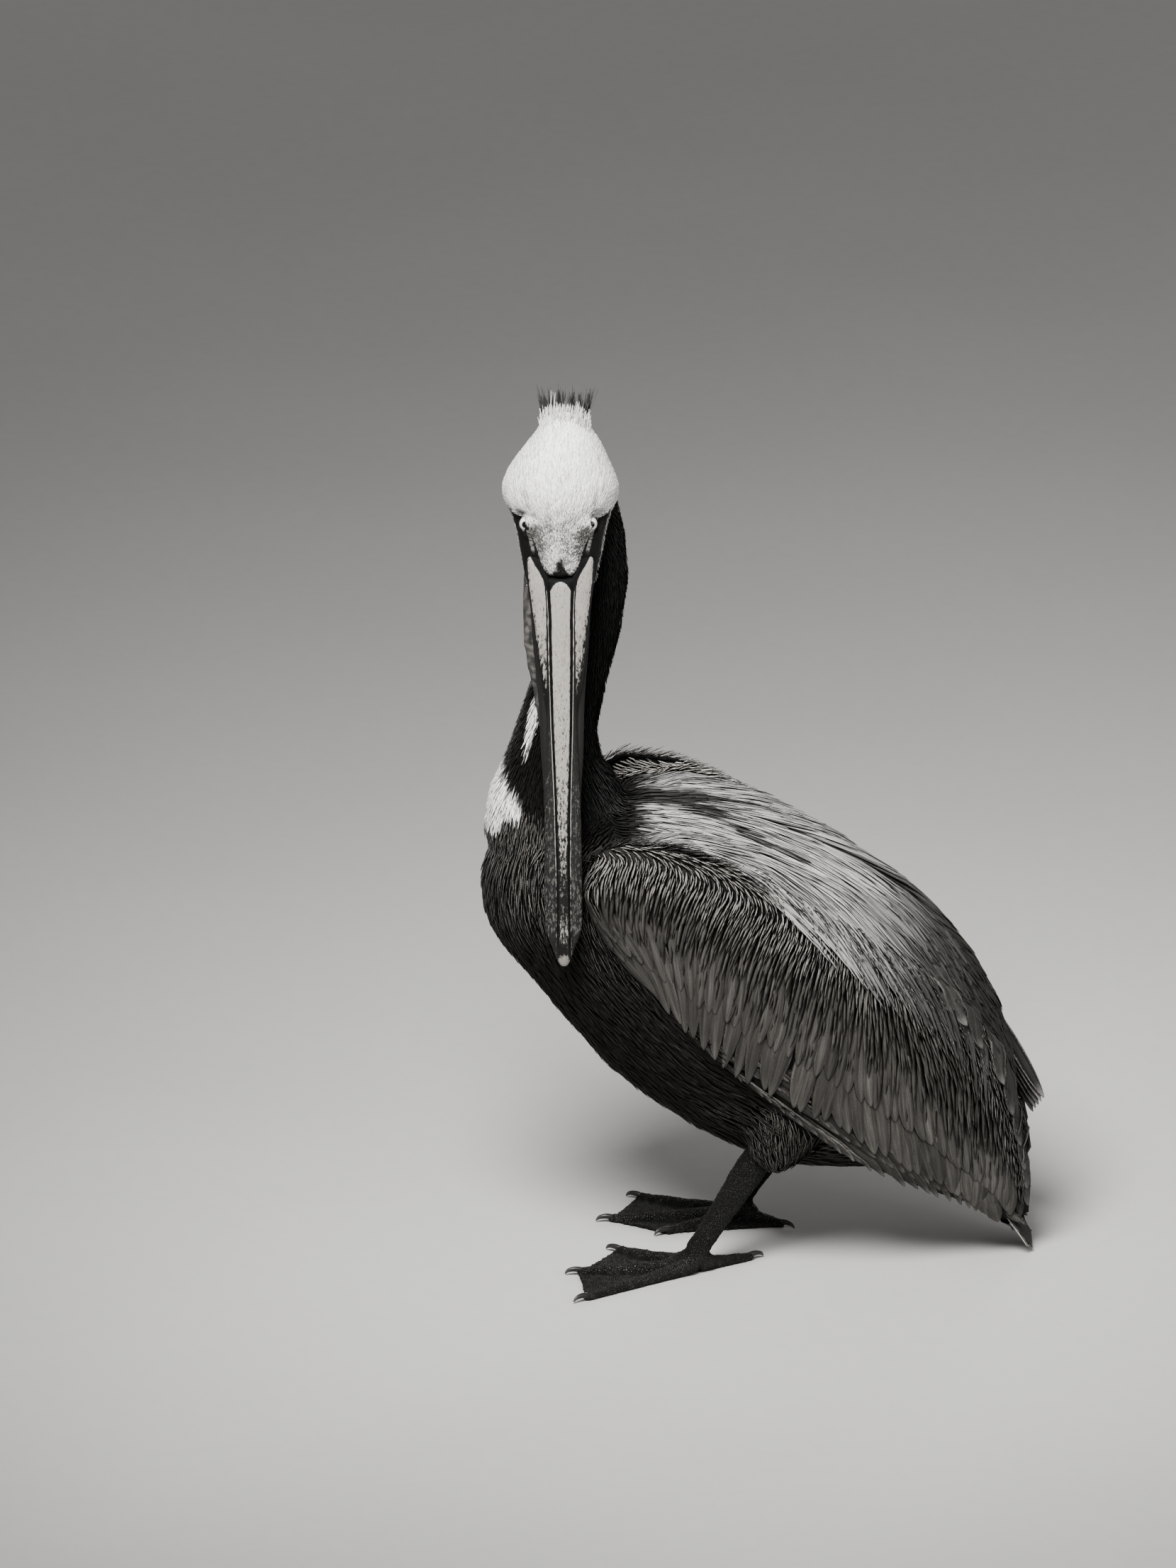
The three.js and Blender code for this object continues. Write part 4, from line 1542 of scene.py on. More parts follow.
@dataclass
class Skin:
    """The one skin under the coat, with the bare face, throat, legs and webs."""

    flesh: tuple = ("trunk", "neck_lower", "neck_middle", "neck_upper", "head", "pouch", "tail",
                    "scapulars_left", "scapulars_right", "wing_left", "wing_right",
                    "thigh_left", "thigh_right")
    legs: tuple = ("shank_left", "shank_right", "foot_left", "foot_right")
    voxel: float = 3.0
    leg_voxel: float = 1.25
    refine: tuple = (24.0, 15.0)  # how far round the eyes each refinement reaches
    leg_share: float = 0.27  # of the legs' faces that are kept, most where they curve
    grow: float = 0.6  # closes the thin gaps between the solids
    depths: tuple = (("trunk", 3.4), ("neck_lower", 2.8), ("neck_middle", 2.2),
                     ("neck_upper", 2.0), ("head", 1.4), ("pouch", 0.2), ("tail", 4.0),
                     ("scapulars", 5.0), ("wing", 5.0), ("thigh", 3.4))
    thin_share: float = 0.3  # the coat never takes more of a thin limb than this
    evening: int = 12  # how many times the depth is averaged with its neighbours'
    wedge: tuple = ((46, 4, 25, 14), (30, 6, 21, 10), (16, 7, 15.5, 8), (8, 7, 12.8, 6.5),
                    (3, 6.4, 10, 4.6))  # the feathered point over the bill: up, out, wide, tall
    crown_right: tuple = ((70, 1.4), (85, 2.6), (100, 4.2), (116, 6.8), (128, 8.4), (140, 8.6))
    crown_left: tuple = ((70, 1.4), (85, 2.6), (100, 3.4), (116, 3.0), (128, 5.4), (138, 8.2))
    lid_tone: Colour = light(0.8, 0.2)
    leg_tone: Colour = light(0.12, 0.25)
    # pale tone for the scuffs and for the painted light on the toes' tops
    scuff_and_top_light_tone: Colour = light(0.3, 0.3)
    finishes: tuple = (Hide("under skin", 700.0, 0.7), Hide("bare skin", 900.0, 0.5, 0.6),
                       Hide("leg skin", 520.0, 0.55, 1.0, 0.0016))
    eyes: Eyes = field(default_factory=Eyes)

    def build(self, nodes: dict[str, bpy.types.Object]) -> bpy.types.Object:
        """Builds the skin.

        Args:
            nodes: the frame's nodes.

        Returns:
            The skin, with its unwrap and tones.
        """
        self._index_nodes(nodes)
        body = make_piece("skin", self._bodies(nodes), in_bird=False)
        remeshed(body, self.voxel, 8)
        self.form = Surface(body.data)
        self._refine_face(body.data)
        self._shrink(body.data)
        self.body_faces = len(body.data.polygons)
        self._add_legs(body)
        self._unwrap(body)
        self._paint(body.data)
        self.piece = body
        self.surface = Surface(body.data)
        return body

    def _index_nodes(self, nodes: dict[str, bpy.types.Object]) -> None:
        """Makes the tree that tells which flesh node a point belongs to.

        Args:
            nodes: the frame's nodes.
        """
        corners, owners = [], []
        for name in self.flesh:
            mesh = nodes[name].data
            mesh.calc_loop_triangles()
            spots = to_bird(get_places(mesh))
            for triangle in mesh.loop_triangles:
                corners.append([spots[i] for i in triangle.vertices])
                owners.append(name)
        flat = np.array(corners).reshape(-1, 3)
        faces = np.arange(len(flat)).reshape(-1, 3)
        self.node_tree = BVHTree.FromPolygons(flat.tolist(), faces.tolist())
        self.owners = np.array(owners)

    def region(self, points: Array) -> Array:
        """The name of the flesh node nearest to each point."""
        faces = [self.node_tree.find_nearest(point)[2] for point in points]
        return self.owners[np.array(faces, int)]

    def _bodies(self, nodes: dict[str, bpy.types.Object]) -> bmesh.types.BMesh:
        """Copies the flesh, slightly grown, with the feathered point over the bill.

        Args:
            nodes: the frame's nodes.

        Returns:
            One mesh in the frame's metres.
        """
        parts = []
        for name in self.flesh:
            part = bmesh.new()
            part.from_mesh(nodes[name].data)
            bmesh.ops.remove_doubles(part, verts=part.verts[:], dist=1e-6)
            part.normal_update()
            for vert in part.verts:
                vert.co += vert.normal * self.grow * MM
            parts.append(part)
        rows = [(*HEAD.place(-up, out, 0.0), wide, tall) for up, out, wide, tall in self.wedge]
        point = Sweep(rows, across=(0, -1, 0), caps=(0.05, 0.25)).mesh()
        move_places(point, to_frame(bm_places(point)))
        return join_bodies([*parts, point])

    def _refine_face(self, mesh: bpy.types.Mesh) -> None:
        """Divides the faces of the bare face finer, and finest round the eyes.

        Args:
            mesh: the skin's mesh.
        """
        bm = bmesh.new()
        bm.from_mesh(mesh)
        for reach in self.refine:
            near = set()
            for side in Side:
                spot = Vector(to_frame(self.eyes.centre(side)))
                near.update(face for face in bm.faces
                            if (face.calc_center_median() - spot).length < reach * MM)
            edges = list({edge for face in near for edge in face.edges})
            bmesh.ops.subdivide_edges(bm, edges=edges, cuts=1, use_grid_fill=True, smooth=0.4)
        bmesh.ops.triangulate(bm, faces=[face for face in bm.faces if len(face.verts) > 4])
        bm.to_mesh(mesh)
        bm.free()
        mesh.shade_smooth()

    def _shrink(self, mesh: bpy.types.Mesh) -> None:
        """Moves the skin inwards by the coat's depth and shapes the lids.

        Args:
            mesh: the skin's mesh.
        """
        spots, normals = to_bird(get_places(mesh)), get_normals(mesh)
        region = self.region(spots)
        depth = np.zeros(len(spots))
        for name, value in self.depths:
            depth[np.char.startswith(region, name)] = value
        bare = MARKINGS.head.read(spots)[0]
        depth = np.where(region == "head", mix(depth, 0.0, bare), depth)
        along, _, side = HEAD.read(spots).T
        crown = mix(table(self.crown_right, -along), table(self.crown_left, -along),
                    ease(-12, 12, side))
        depth = np.where(region == "head", np.maximum(depth, crown * (along < -70)), depth)
        for index, (spot, normal) in enumerate(zip(spots, normals)):
            hit, _, _, distance = self.form.tree.ray_cast(spot - normal * 0.4, -normal)
            if hit is not None:
                depth[index] = min(depth[index], distance * self.thin_share)
        edges = read_rows(mesh.edges, "vertices", 2)
        for _ in range(self.evening):
            total, count = depth.copy(), np.ones(len(depth))
            for first, second in ((0, 1), (1, 0)):
                np.add.at(total, edges[:, first], depth[edges[:, second]])
                np.add.at(count, edges[:, first], 1.0)
            depth = total / count
        spots = self.eyes.shape_lids(spots - normals * depth[:, None])
        set_places(mesh, to_frame(spots))
        self.depth = depth
        self.body_spots = spots

    def _add_legs(self, body: bpy.types.Object) -> None:
        """Joins the legs, webs and toes, grown into one finer surface each.

        Args:
            body: the skin, which gains them.
        """
        meshes = [body.data]
        for foot in FEET:
            leg = make_piece(f"leg_{foot.side.word}", join_bodies(foot.bodies()))
            remeshed(leg, self.leg_voxel, 3)
            spots = to_bird(get_places(leg.data))
            spots += get_normals(leg.data) * (0.35 * wander(spots, 3.4, 9)
                                              + 0.2 * wander(spots, 1.9, 10))[:, None]
            spots[:, 2] = np.maximum(spots[:, 2], 0.05)
            set_places(leg.data, to_frame(spots))
            leg.modifiers.new("fewer", "DECIMATE").ratio = self.leg_share
            settle(leg)
            meshes.append(leg.data)
            bpy.data.objects.remove(leg)
        whole = bmesh.new()
        for slot, mesh in enumerate(meshes):
            first = len(whole.faces)
            whole.from_mesh(mesh)
            whole.faces.ensure_lookup_table()
            for face in whole.faces[first:]:
                face.material_index = 2 if slot else 0
        whole.to_mesh(body.data)
        whole.free()
        body.data.shade_smooth()

    def _unwrap(self, body: bpy.types.Object) -> None:
        """Unwraps the skin's own shape.

        Args:
            body: the skin.
        """
        while body.data.uv_layers:
            body.data.uv_layers.remove(body.data.uv_layers[0])
        body.data.uv_layers.new(name="OFBake")
        bpy.context.view_layer.objects.active = body
        body.select_set(True)
        bpy.ops.object.mode_set(mode="EDIT")
        bpy.ops.mesh.select_all(action="SELECT")
        bpy.ops.uv.smart_project(angle_limit=math.radians(66), island_margin=0.002)
        bpy.ops.object.mode_set(mode="OBJECT")
        body.select_set(False)

    def _paint(self, mesh: bpy.types.Mesh) -> None:
        """Gives the skin its tones and finishes.

        Args:
            mesh: the skin's mesh.
        """
        spots = to_bird(get_places(mesh))
        count = len(self.body_spots)
        self.names = self.region(spots[:count])
        marks = MARKINGS.at(spots[:count], self.names)
        feathered = ~np.char.startswith(self.names, "pouch")
        bare = np.where(self.names == "head", MARKINGS.head.read(spots[:count])[0], 0.0)
        ring = self.eyes.ring(spots[:count])
        white = np.clip(marks.tone[:, 1] / MARKINGS.white[1], 0, 1)
        # painted shade: skin under the feathers is darkened, more under dark plumage than under
        # white, for the shade the coat casts on it
        shade = np.where(feathered & (bare < 0.5), mix(0.45, 0.8, white), 1.0)
        body = mix(marks.tone * shade[:, None], np.array(self.lid_tone), ring[:, None])
        set_colour(mesh, "tone", np.vstack((body, self._leg_tone(spots[count:]))))
        for finish in self.finishes:
            mesh.materials.append(finish.material())
        naked = (bare > 0.5) | ~feathered | (ring > 0.5)
        slots = read_rows(mesh.polygons, "material_index")
        first = read_rows(mesh.loops, "vertex_index")[read_rows(mesh.polygons, "loop_start")]
        is_body = first < count
        slots[is_body] = naked[first[is_body]].astype(np.int32)
        mesh.polygons.foreach_set("material_index", slots)

    def _leg_tone(self, legs: Array) -> Array:
        """Darkens the legs, scuffs webs and toes pale near the floor, and paints light on the toes'
        raised tops.

        Args:
            legs: the legs' places in the bird's millimetres.

        Returns:
            Their tones.
        """
        scuff_and_top_light = ease(0.1, 0.7, wander(legs, 7.0, 15) + 0.6 * wander(legs, 2.6, 16))
        scuff_and_top_light = scuff_and_top_light * ease(9, 4, legs[:, 2]) * 0.6
        # painted light: the toes' raised tops, between 4.4 and 18 mm over the floor, are painted
        # paler
        ridge = ease(4.4, 7.0, legs[:, 2]) * ease(18, 13, legs[:, 2])
        scuff_and_top_light = np.maximum(scuff_and_top_light, ridge * (0.45 + 0.25 * wander(legs, 2.2, 20)))
        return mix(np.array(self.leg_tone), np.array(self.scuff_and_top_light_tone), scuff_and_top_light[:, None])

    def scatter(self, spacing: float, rng: np.random.Generator, only: tuple = ()) -> Sites:
        """Strews candidate sites evenly over the skin's feathered body.

        Args:
            spacing: about how far apart they are, in millimetres.
            rng: the source of chance.
            only: the flesh nodes to keep to, or none for the whole body.

        Returns:
            The sites.
        """
        surface, count = self.surface, len(self.body_spots)
        within = (surface.faces < count).all(1)
        if only:
            within &= np.isin(self.names[np.minimum(surface.faces[:, 0], count - 1)], only)
        body = np.flatnonzero(within)
        corners = surface.places[surface.faces[body]]
        area = np.linalg.norm(np.cross(corners[:, 1] - corners[:, 0],
                                       corners[:, 2] - corners[:, 0]), axis=1) / 2
        wanted = int(area.sum() / spacing**2)
        chosen = rng.choice(len(body), wanted, p=area / area.sum())
        faces = surface.faces[body[chosen]]
        share = rng.random((wanted, 2))
        over = share.sum(1) > 1
        share[over] = 1 - share[over]
        weights = np.column_stack((1 - share.sum(1), share))
        place = (surface.places[faces] * weights[..., None]).sum(1)
        normal = unit((surface.normals[faces] * weights[..., None]).sum(1))
        depth = (self.depth[faces] * weights).sum(1)
        unwrap = read_rows(self.piece.data.uv_layers["OFBake"].data, "uv", 2, np.float32)
        patch = (unwrap[surface.loops[body[chosen]]] * weights[..., None]).sum(1)
        heaviest = faces[np.arange(wanted), weights.argmax(1)]
        return Sites(place, normal, self.names[heaviest], depth, patch)


    def patches(self, points: Array) -> Array:
        """Finds where points near the skin lie on its unwrap.

        Args:
            points: places in the bird's millimetres.

        Returns:
            Rows of the unwrap's two coordinates.
        """
        layer = self.piece.data.uv_layers["OFBake"].data
        faces = [self.surface.tree.find_nearest(point)[2] for point in points]
        return np.array([tuple(layer[int(self.surface.loops[face][0])].uv) for face in faces])


# ---- Feathers ----------------------------------------------------------------------------------


@dataclass(frozen=True)
class Vane:
    """The shape of one feather: a thin closed leaf, cambered, widest at its peak."""

    around: int = 3
    rings: int = 3
    peak: float = 0.4
    tip: float = 1.3  # above one is pointed, below one is round
    camber: float = 0.3  # how high the middle stands beside half the width
    thick: float = 0.25
    soft: float = 0.0  # how far its shading follows the skin under it

    def template(self) -> tuple[Array, Array, list[list[int]]]:
        """Makes the leaf from a sphere.

        Returns:
            Each corner's share across from -1 to 1 and along from 0 to 1, how far each is on the
            upper face, and the faces.
        """
        bm = bmesh.new()
        bmesh.ops.create_uvsphere(bm, u_segments=self.around, v_segments=self.rings + 1,
                                  radius=1.0, matrix=Matrix.Rotation(math.pi / 2, 4, "Z"))
        ball = bm_places(bm)
        faces = [[vert.index for vert in face.verts] for face in bm.faces]
        bm.free()
        flatness = np.hypot(ball[:, 0], ball[:, 1])
        cos = np.where(flatness > 1e-4, ball[:, 0] / np.maximum(flatness, 1e-4), 0.0)
        sin = np.where(flatness > 1e-4, ball[:, 1] / np.maximum(flatness, 1e-4), 0.0)
        across = cos / np.abs(cos).max()
        along = (1 - ball[:, 2]) / 2
        return np.stack((across, along), -1), (sin > 0.01).astype(float), faces

    def outline(self, along: Array) -> Array:
        """The leaf's outline.

        Args:
            along: shares from 0 to 1.

        Returns:
            The width at each, beside the greatest.
        """
        rising = np.clip(along / self.peak, 0, 1) ** 0.55
        falling = 1 - np.clip((along - self.peak) / (1 - self.peak), 0, 1) ** (2.2 / self.tip)
        return rising * np.maximum(falling, 0) ** (0.55 * self.tip)


@dataclass
class Feathers:
    """A batch of feathers that become one piece: their middle lines, sizes and marks."""

    points: Array
    normals: Array
    width: Array
    length: Array
    lift: Array  # height over the surface at root and tip
    marks: Marks
    patch: Array  # their places on the skin's unwrap

    tone_spread = 0.16  # how much feathers of one look differ
    mark_spread = 0.22
    brightest = 0.93  # the most that a feather throws back
    bake_size = (0.0015, 0.003)  # a feather's own patch on the bake map

    def piece(self, name: str, vane: Vane, finish: Plumage, rng: np.random.Generator,
              root_shade: float = 0.6, roll: float = 8.0) -> bpy.types.Object:
        """Lays the feathers as one joined mesh.

        Args:
            name: the piece's name.
            vane: the shape of each.
            finish: their finish.
            rng: the source of chance.
            root_shade: how much shade is painted at a feather's root beside its tip, painted shade
                for the shade that falls between feathers.
            roll: how far they may roll to a side, in degrees.

        Returns:
            The piece.
        """
        shape, upper, faces = vane.template()
        across, along = shape.T
        count, steps = len(self.points), self.points.shape[1] - 1
        place = np.clip(along * steps, 0, steps - 1e-6)
        index, part = place.astype(int), (place % 1.0)[None, :, None]
        middle = mix(self.points[:, index], self.points[:, index + 1], part)
        normal = unit(mix(self.normals[:, index], self.normals[:, index + 1], part))
        ahead = unit(np.gradient(self.points, axis=1))
        ahead = unit(mix(ahead[:, index], ahead[:, index + 1], part))
        sideways = unit(np.cross(ahead, normal))
        turn = np.radians(rng.normal(0, roll, count))[:, None, None]
        leaning = sideways * np.cos(turn) + normal * np.sin(turn)
        half = self.width[:, None] / 2 * vane.outline(along)[None]
        rise = self.lift[:, :1] + (self.lift[:, 1:] - self.lift[:, :1]) * along**1.2
        rise = rise + vane.camber * half * (1 - across**2) + vane.thick * upper * (half > 0.01)
        spots = middle + leaning * (across * half)[..., None] + normal * rise[..., None]
        corners = np.concatenate([np.array(face) for face in faces])
        starts = np.cumsum([0] + [len(face) for face in faces[:-1]])
        offsets = np.arange(count)[:, None]
        mesh = bpy.data.meshes.new(name)
        mesh.vertices.add(count * len(along))
        mesh.vertices.foreach_set("co", to_frame(spots.reshape(-1, 3)).astype(np.float32).ravel())
        mesh.loops.add(count * len(corners))
        loops = (corners[None] + offsets * len(along)).ravel()
        mesh.loops.foreach_set("vertex_index", loops.astype(np.int32))
        mesh.polygons.add(count * len(faces))
        mesh.polygons.foreach_set("loop_start",
                                  (starts[None] + offsets * len(corners)).ravel().astype(np.int32))
        mesh.update(calc_edges=True)
        mesh.shade_smooth()
        if vane.soft:
            rounded = unit(normal + leaning * (0.5 * across[None, :, None]))
            own = get_normals(mesh)
            facing = unit(mix(own, rounded.reshape(-1, 3), vane.soft))
            mesh.normals_split_custom_set_from_vertices(facing.tolist())
        self._store(mesh, shape, corners, root_shade, rng)
        mesh.materials.append(finish.material())
        return add_object(name, mesh)

    def _store(self, mesh: bpy.types.Mesh, shape: Array, corners: Array, root_shade: float,
               rng: np.random.Generator) -> None:
        """Stores the vane map, the bake map and the marks.

        Args:
            mesh: the feathers' mesh.
            shape: each corner's share across and along.
            corners: the corners of a feather's faces in turn.
            root_shade: how much shade is painted at a feather's root beside its tip, painted shade
                for the shade that falls between feathers.
            rng: the source of chance.
        """
        count, per = len(self.points), len(shape)
        vane = np.stack(((shape[:, 0] + 1) / 2, shape[:, 1]), -1)
        patch = (shape[None] - (0.0, 0.5)) * self.bake_size + self.patch[:, None]
        for label, rows in (("Vane", np.tile(vane, (count, 1, 1))), ("OFBake", patch)):
            layer = mesh.uv_layers.new(name=label)
            layer.data.foreach_set("uv", rows[:, corners].astype(np.float32).ravel())
        shade = np.exp(rng.normal(0, self.tone_spread, count))[:, None, None]
        # painted shade: each feather's tone darkens towards its root, where the feathers over it
        # shade it
        fade = mix(root_shade, 1.0, np.minimum(1, shape[:, 1] * 1.6))[None, :, None]
        tone = self.marks.tone[:, None] * shade * fade
        streak = self.marks.streak[:, None] * np.sqrt(shade) * np.ones((1, per, 1))
        chance = np.clip(rng.normal(1, self.mark_spread, count), 0.2, 1.4)
        mark = np.stack((np.clip(self.marks.share * chance, 0, 1), self.marks.width,
                         np.clip(self.marks.rim * chance, 0, 1), self.length / 100), -1)
        seed = np.repeat(rng.random(count), per)[:, None]
        tone = np.minimum(tone, self.brightest).reshape(-1, 3)
        set_colour(mesh, "tone", np.hstack((tone, seed)))
        set_colour(mesh, "streak", np.minimum(streak, self.brightest).reshape(-1, 3))
        set_colour(mesh, "mark", np.repeat(mark, per, axis=0))


def thin_out(place: Array, spacing: Array) -> Array:
    """Keeps points that stand at least their spacing apart.

    Args:
        place: the points, in random order.
        spacing: the least distance round each, in millimetres.

    Returns:
        The indices of the points kept.
    """
    tree = plant(place)
    gone = bytearray(len(place))
    kept = []
    for index, (spot, gap) in enumerate(zip(place, spacing)):
        if gone[index]:
            continue
        kept.append(index)
        for _, other, _ in tree.find_range(spot, gap):
            gone[other] = 1
    return np.array(kept, int)


@dataclass
class Tract:
    """A field of small feathers. Each kind says where it grows, how big, and how it lies.

    grows, spacing, size and lift take the sites in question and return one value, or one row,
    for each. lie takes places in the bird's millimetres and returns a direction for each.
    """

    piece: str
    finish: Plumage
    vane: Vane
    steps: int = 4
    jitter: float = 7.0  # how far a feather strays from the lie, in degrees
    # root_shade: the painted shade at each feather's root
    root_shade: float = 0.6
    open_reach: float = 9.0  # nothing grows where the skin faces other skin nearer than this
    length_spread: float = 0.14  # how much the feathers differ, beside one
    width_spread: float = 0.12
    lift_spread: float = 0.16
    loose: tuple = (4.0, 0.06)  # how far off the skin a tip may end: at least, and by its length
    curl: float = -0.1  # a feather whose ends turn apart further than this cosine is dropped
    gap: float = 1.0  # the distance between feathers, where it is even

    def grows(self, sites: Sites) -> Array:
        """Which sites belong to the tract."""
        raise NotImplementedError

    def spacing(self, sites: Sites) -> Array:
        """The distance between feathers."""
        return np.full(len(sites.place), self.gap)

    def size(self, sites: Sites) -> tuple[Array, Array]:
        """The feathers' lengths and widths."""
        raise NotImplementedError

    def lie(self, points: Array) -> Array:
        """How they lie."""
        raise NotImplementedError

    def lift(self, sites: Sites) -> Array:
        """Heights over the skin of root and tip."""
        tip = np.maximum(sites.depth * 0.92, 0.6)
        return np.stack((0.15 + 0 * tip, tip), -1)

    def build(self, skin: Skin, sites: Sites, rng: np.random.Generator) -> bpy.types.Object:
        """Grows the tract.

        Args:
            skin: the finished skin.
            sites: where feathers may grow.
            rng: the source of chance.

        Returns:
            The coat piece.
        """
        sites = sites.pick(self.grows(sites))
        sites = sites.pick(thin_out(sites.place, self.spacing(sites)))
        clear = [skin.surface.tree.ray_cast(place + normal, normal, self.open_reach)[0] is None
                 for place, normal in zip(sites.place, sites.normal)]
        sites = sites.pick(np.array(clear))
        count = len(sites.place)
        length, width = self.size(sites)
        length = length * np.clip(rng.normal(1, self.length_spread, count), 0.6, 1.4)
        width = width * np.clip(rng.normal(1, self.width_spread, count), 0.6, 1.4)
        level = lay_down(self.lie(sites.place), sites.normal)
        aside = np.cross(sites.normal, level)
        turn = np.radians(rng.normal(0, self.jitter, count))[:, None]
        heading = level * np.cos(turn) + aside * np.sin(turn)
        follow = self.lie if self.steps > 4 else None
        points, normals = skin.surface.march(sites.place, heading, sites.normal, length,
                                             self.steps, follow)
        lift = self.lift(sites)
        lift = lift * np.clip(rng.normal(1, self.lift_spread, (count, 1)), 0.5, 1.35)
        away = [skin.surface.tree.find_nearest(spot)[3] for spot in points[:, -1]]
        bend = np.diff(points, axis=1)
        turned = (unit(bend[:, 0]) * unit(bend[:, -1])).sum(1)
        near = np.array(away) < self.loose[0] + self.loose[1] * length
        sound = np.flatnonzero(near & (turned > self.curl))
        marks = MARKINGS.at(sites.place[sound], sites.region[sound])
        feathers = Feathers(points[sound], normals[sound], width[sound], length[sound],
                            lift[sound], marks, sites.patch[sound])
        made = feathers.piece(self.piece, self.vane, self.finish, rng, self.root_shade)
        log.info("%s: %d feathers, %d faces", self.piece, count, len(made.data.polygons))
        return made


@dataclass
class HeadPlush(Tract):
    """Short dense white plush on the crown and cheeks, tiniest over the bill."""

    lengths: tuple = ((0, 2.2), (30, 2.6), (50, 3.4), (62, 5.0), (80, 8), (120, 10))
    widths: tuple = ((0, 2.1), (44, 2.3), (60, 1.7), (80, 2.2), (140, 2.5))
    gaps: tuple = ((0, 0.86), (50, 0.95), (75, 1.25), (140, 1.45))

    def grows(self, sites: Sites) -> Array:
        """The head's feathered parts."""
        bare = MARKINGS.head.read(sites.place)[0]
        return (sites.region == "head") & (bare < 0.45) & ~Eyes().lids(sites.place)

    def spacing(self, sites: Sites) -> Array:
        """Densest low on the forehead."""
        return table(self.gaps, -HEAD.read(sites.place)[:, 0])

    def size(self, sites: Sites) -> tuple[Array, Array]:
        """Longest at the crown."""
        up = -HEAD.read(sites.place)[:, 0]
        return table(self.lengths, up), table(self.widths, up)

    def lift(self, sites: Sites) -> Array:
        """Flat, and a little more open low on the forehead."""
        tip = mix(1.25, 0.7, ease(45, 70, -HEAD.read(sites.place)[:, 0]))
        return np.stack((0.1 + 0 * tip, tip), -1)

    def lie(self, points: Array) -> Array:
        """Up the forehead, then back over the cheeks and down the nape."""
        _, out, side = HEAD.read(points).T
        back = ease(16, -14, out)[:, None]
        nape = ease(-36, -50, out)[:, None]
        sign = np.sign(side)[:, None]
        front = np.array((-1.0, -0.05, 0.0)) + sign * np.array((0, 0, 0.12))
        cheek = np.array((-0.2, -1.0, 0.0)) + sign * np.array((0, 0, 0.25))
        down = np.array((0.9, -0.5, 0.0))
        return mix(mix(front, cheek, back), down, nape) @ HEAD.axes


@dataclass
class Fringe(Tract):
    """The thin ragged white fringe behind the bare face."""

    gap: float = 0.7

    def grows(self, sites: Sites) -> Array:
        """The bare face's rear edge, on the side that is turned away from the breast."""
        left = HEAD.read(sites.place)[:, 2] > 0
        return left & (MARKINGS.head.read(sites.place)[2] > 0.3)

    def size(self, sites: Sites) -> tuple[Array, Array]:
        """Fine plumes."""
        return np.full(len(sites.place), 4.6), np.full(len(sites.place), 0.9)

    def lift(self, sites: Sites) -> Array:
        """Standing out at the tips."""
        return np.tile(np.array((0.3, 2.2)), (len(sites.place), 1))

    def lie(self, points: Array) -> Array:
        """Down and away from the face."""
        sign = np.sign(HEAD.read(points)[:, 2:])
        return (np.array((0.8, -0.15, 0.0)) + sign * np.array((0, 0, 0.45))) @ HEAD.axes


@dataclass
class NeckVelvet(Tract):
    """Fine black velvet down the neck, with its white lines."""

    gap: float = 1.9

    def grows(self, sites: Sites) -> Array:
        """The neck."""
        return np.char.startswith(sites.region, "neck")

    def size(self, sites: Sites) -> tuple[Array, Array]:
        """Longer at the foot of the neck, and fringed where it is white."""
        white = MARKINGS.neck.white(sites.place)
        low = ease(470, 400, sites.place[:, 2])
        return mix(8.5, 13.0, low) * mix(1.0, 1.2, white), mix(1.7, 2.1, low)

    def lie(self, points: Array) -> Array:
        """Down the neck."""
        return NECK.read(points)[2]


@dataclass
class BackwardsTract(Tract):
    """A tract that changes from the breast backwards, and is short and fine in the bib."""

    bib_gap: float = 2.4
    bib_length: float = 13.0
    bib_width: float = 2.3
    gaps: tuple = ()
    lengths: tuple = ()
    widths: tuple = ()

    def spacing(self, sites: Sites) -> Array:
        """Wider backwards, and fine in the bib."""
        return mix(table(self.gaps, sites.place[:, 1]), self.bib_gap, MARKINGS.bib(sites.place))

    def size(self, sites: Sites) -> tuple[Array, Array]:
        """Longer backwards, and short in the bib."""
        back, bib = sites.place[:, 1], MARKINGS.bib(sites.place)
        return (mix(table(self.lengths, back), self.bib_length, bib),
                mix(table(self.widths, back), self.bib_width, bib))


@dataclass
class BodyTract(BackwardsTract):
    """The trunk's feathers, from the streaked breast to the dark belly."""

    first: float = -250.0  # where it starts and ends along the bird
    last: float = 300.0
    gaps: tuple = ((-150, 3.5), (-60, 3.6), (60, 3.9))
    lengths: tuple = ((-180, 23), (-100, 26), (0, 24), (100, 26))
    widths: tuple = ((-180, 3.4), (-100, 3.6), (0, 4.0), (100, 4.8))

    def grows(self, sites: Sites) -> Array:
        """The trunk under the back."""
        back = sites.place[:, 1]
        over = (MARKINGS.over_spine(sites.place) > 9) & (back > -78)
        return (sites.region == "trunk") & (back >= self.first) & (back < self.last) & ~over

    def lie(self, points: Array) -> Array:
        """Down the breast and back under the belly."""
        return BREAST_LIE.at(points)


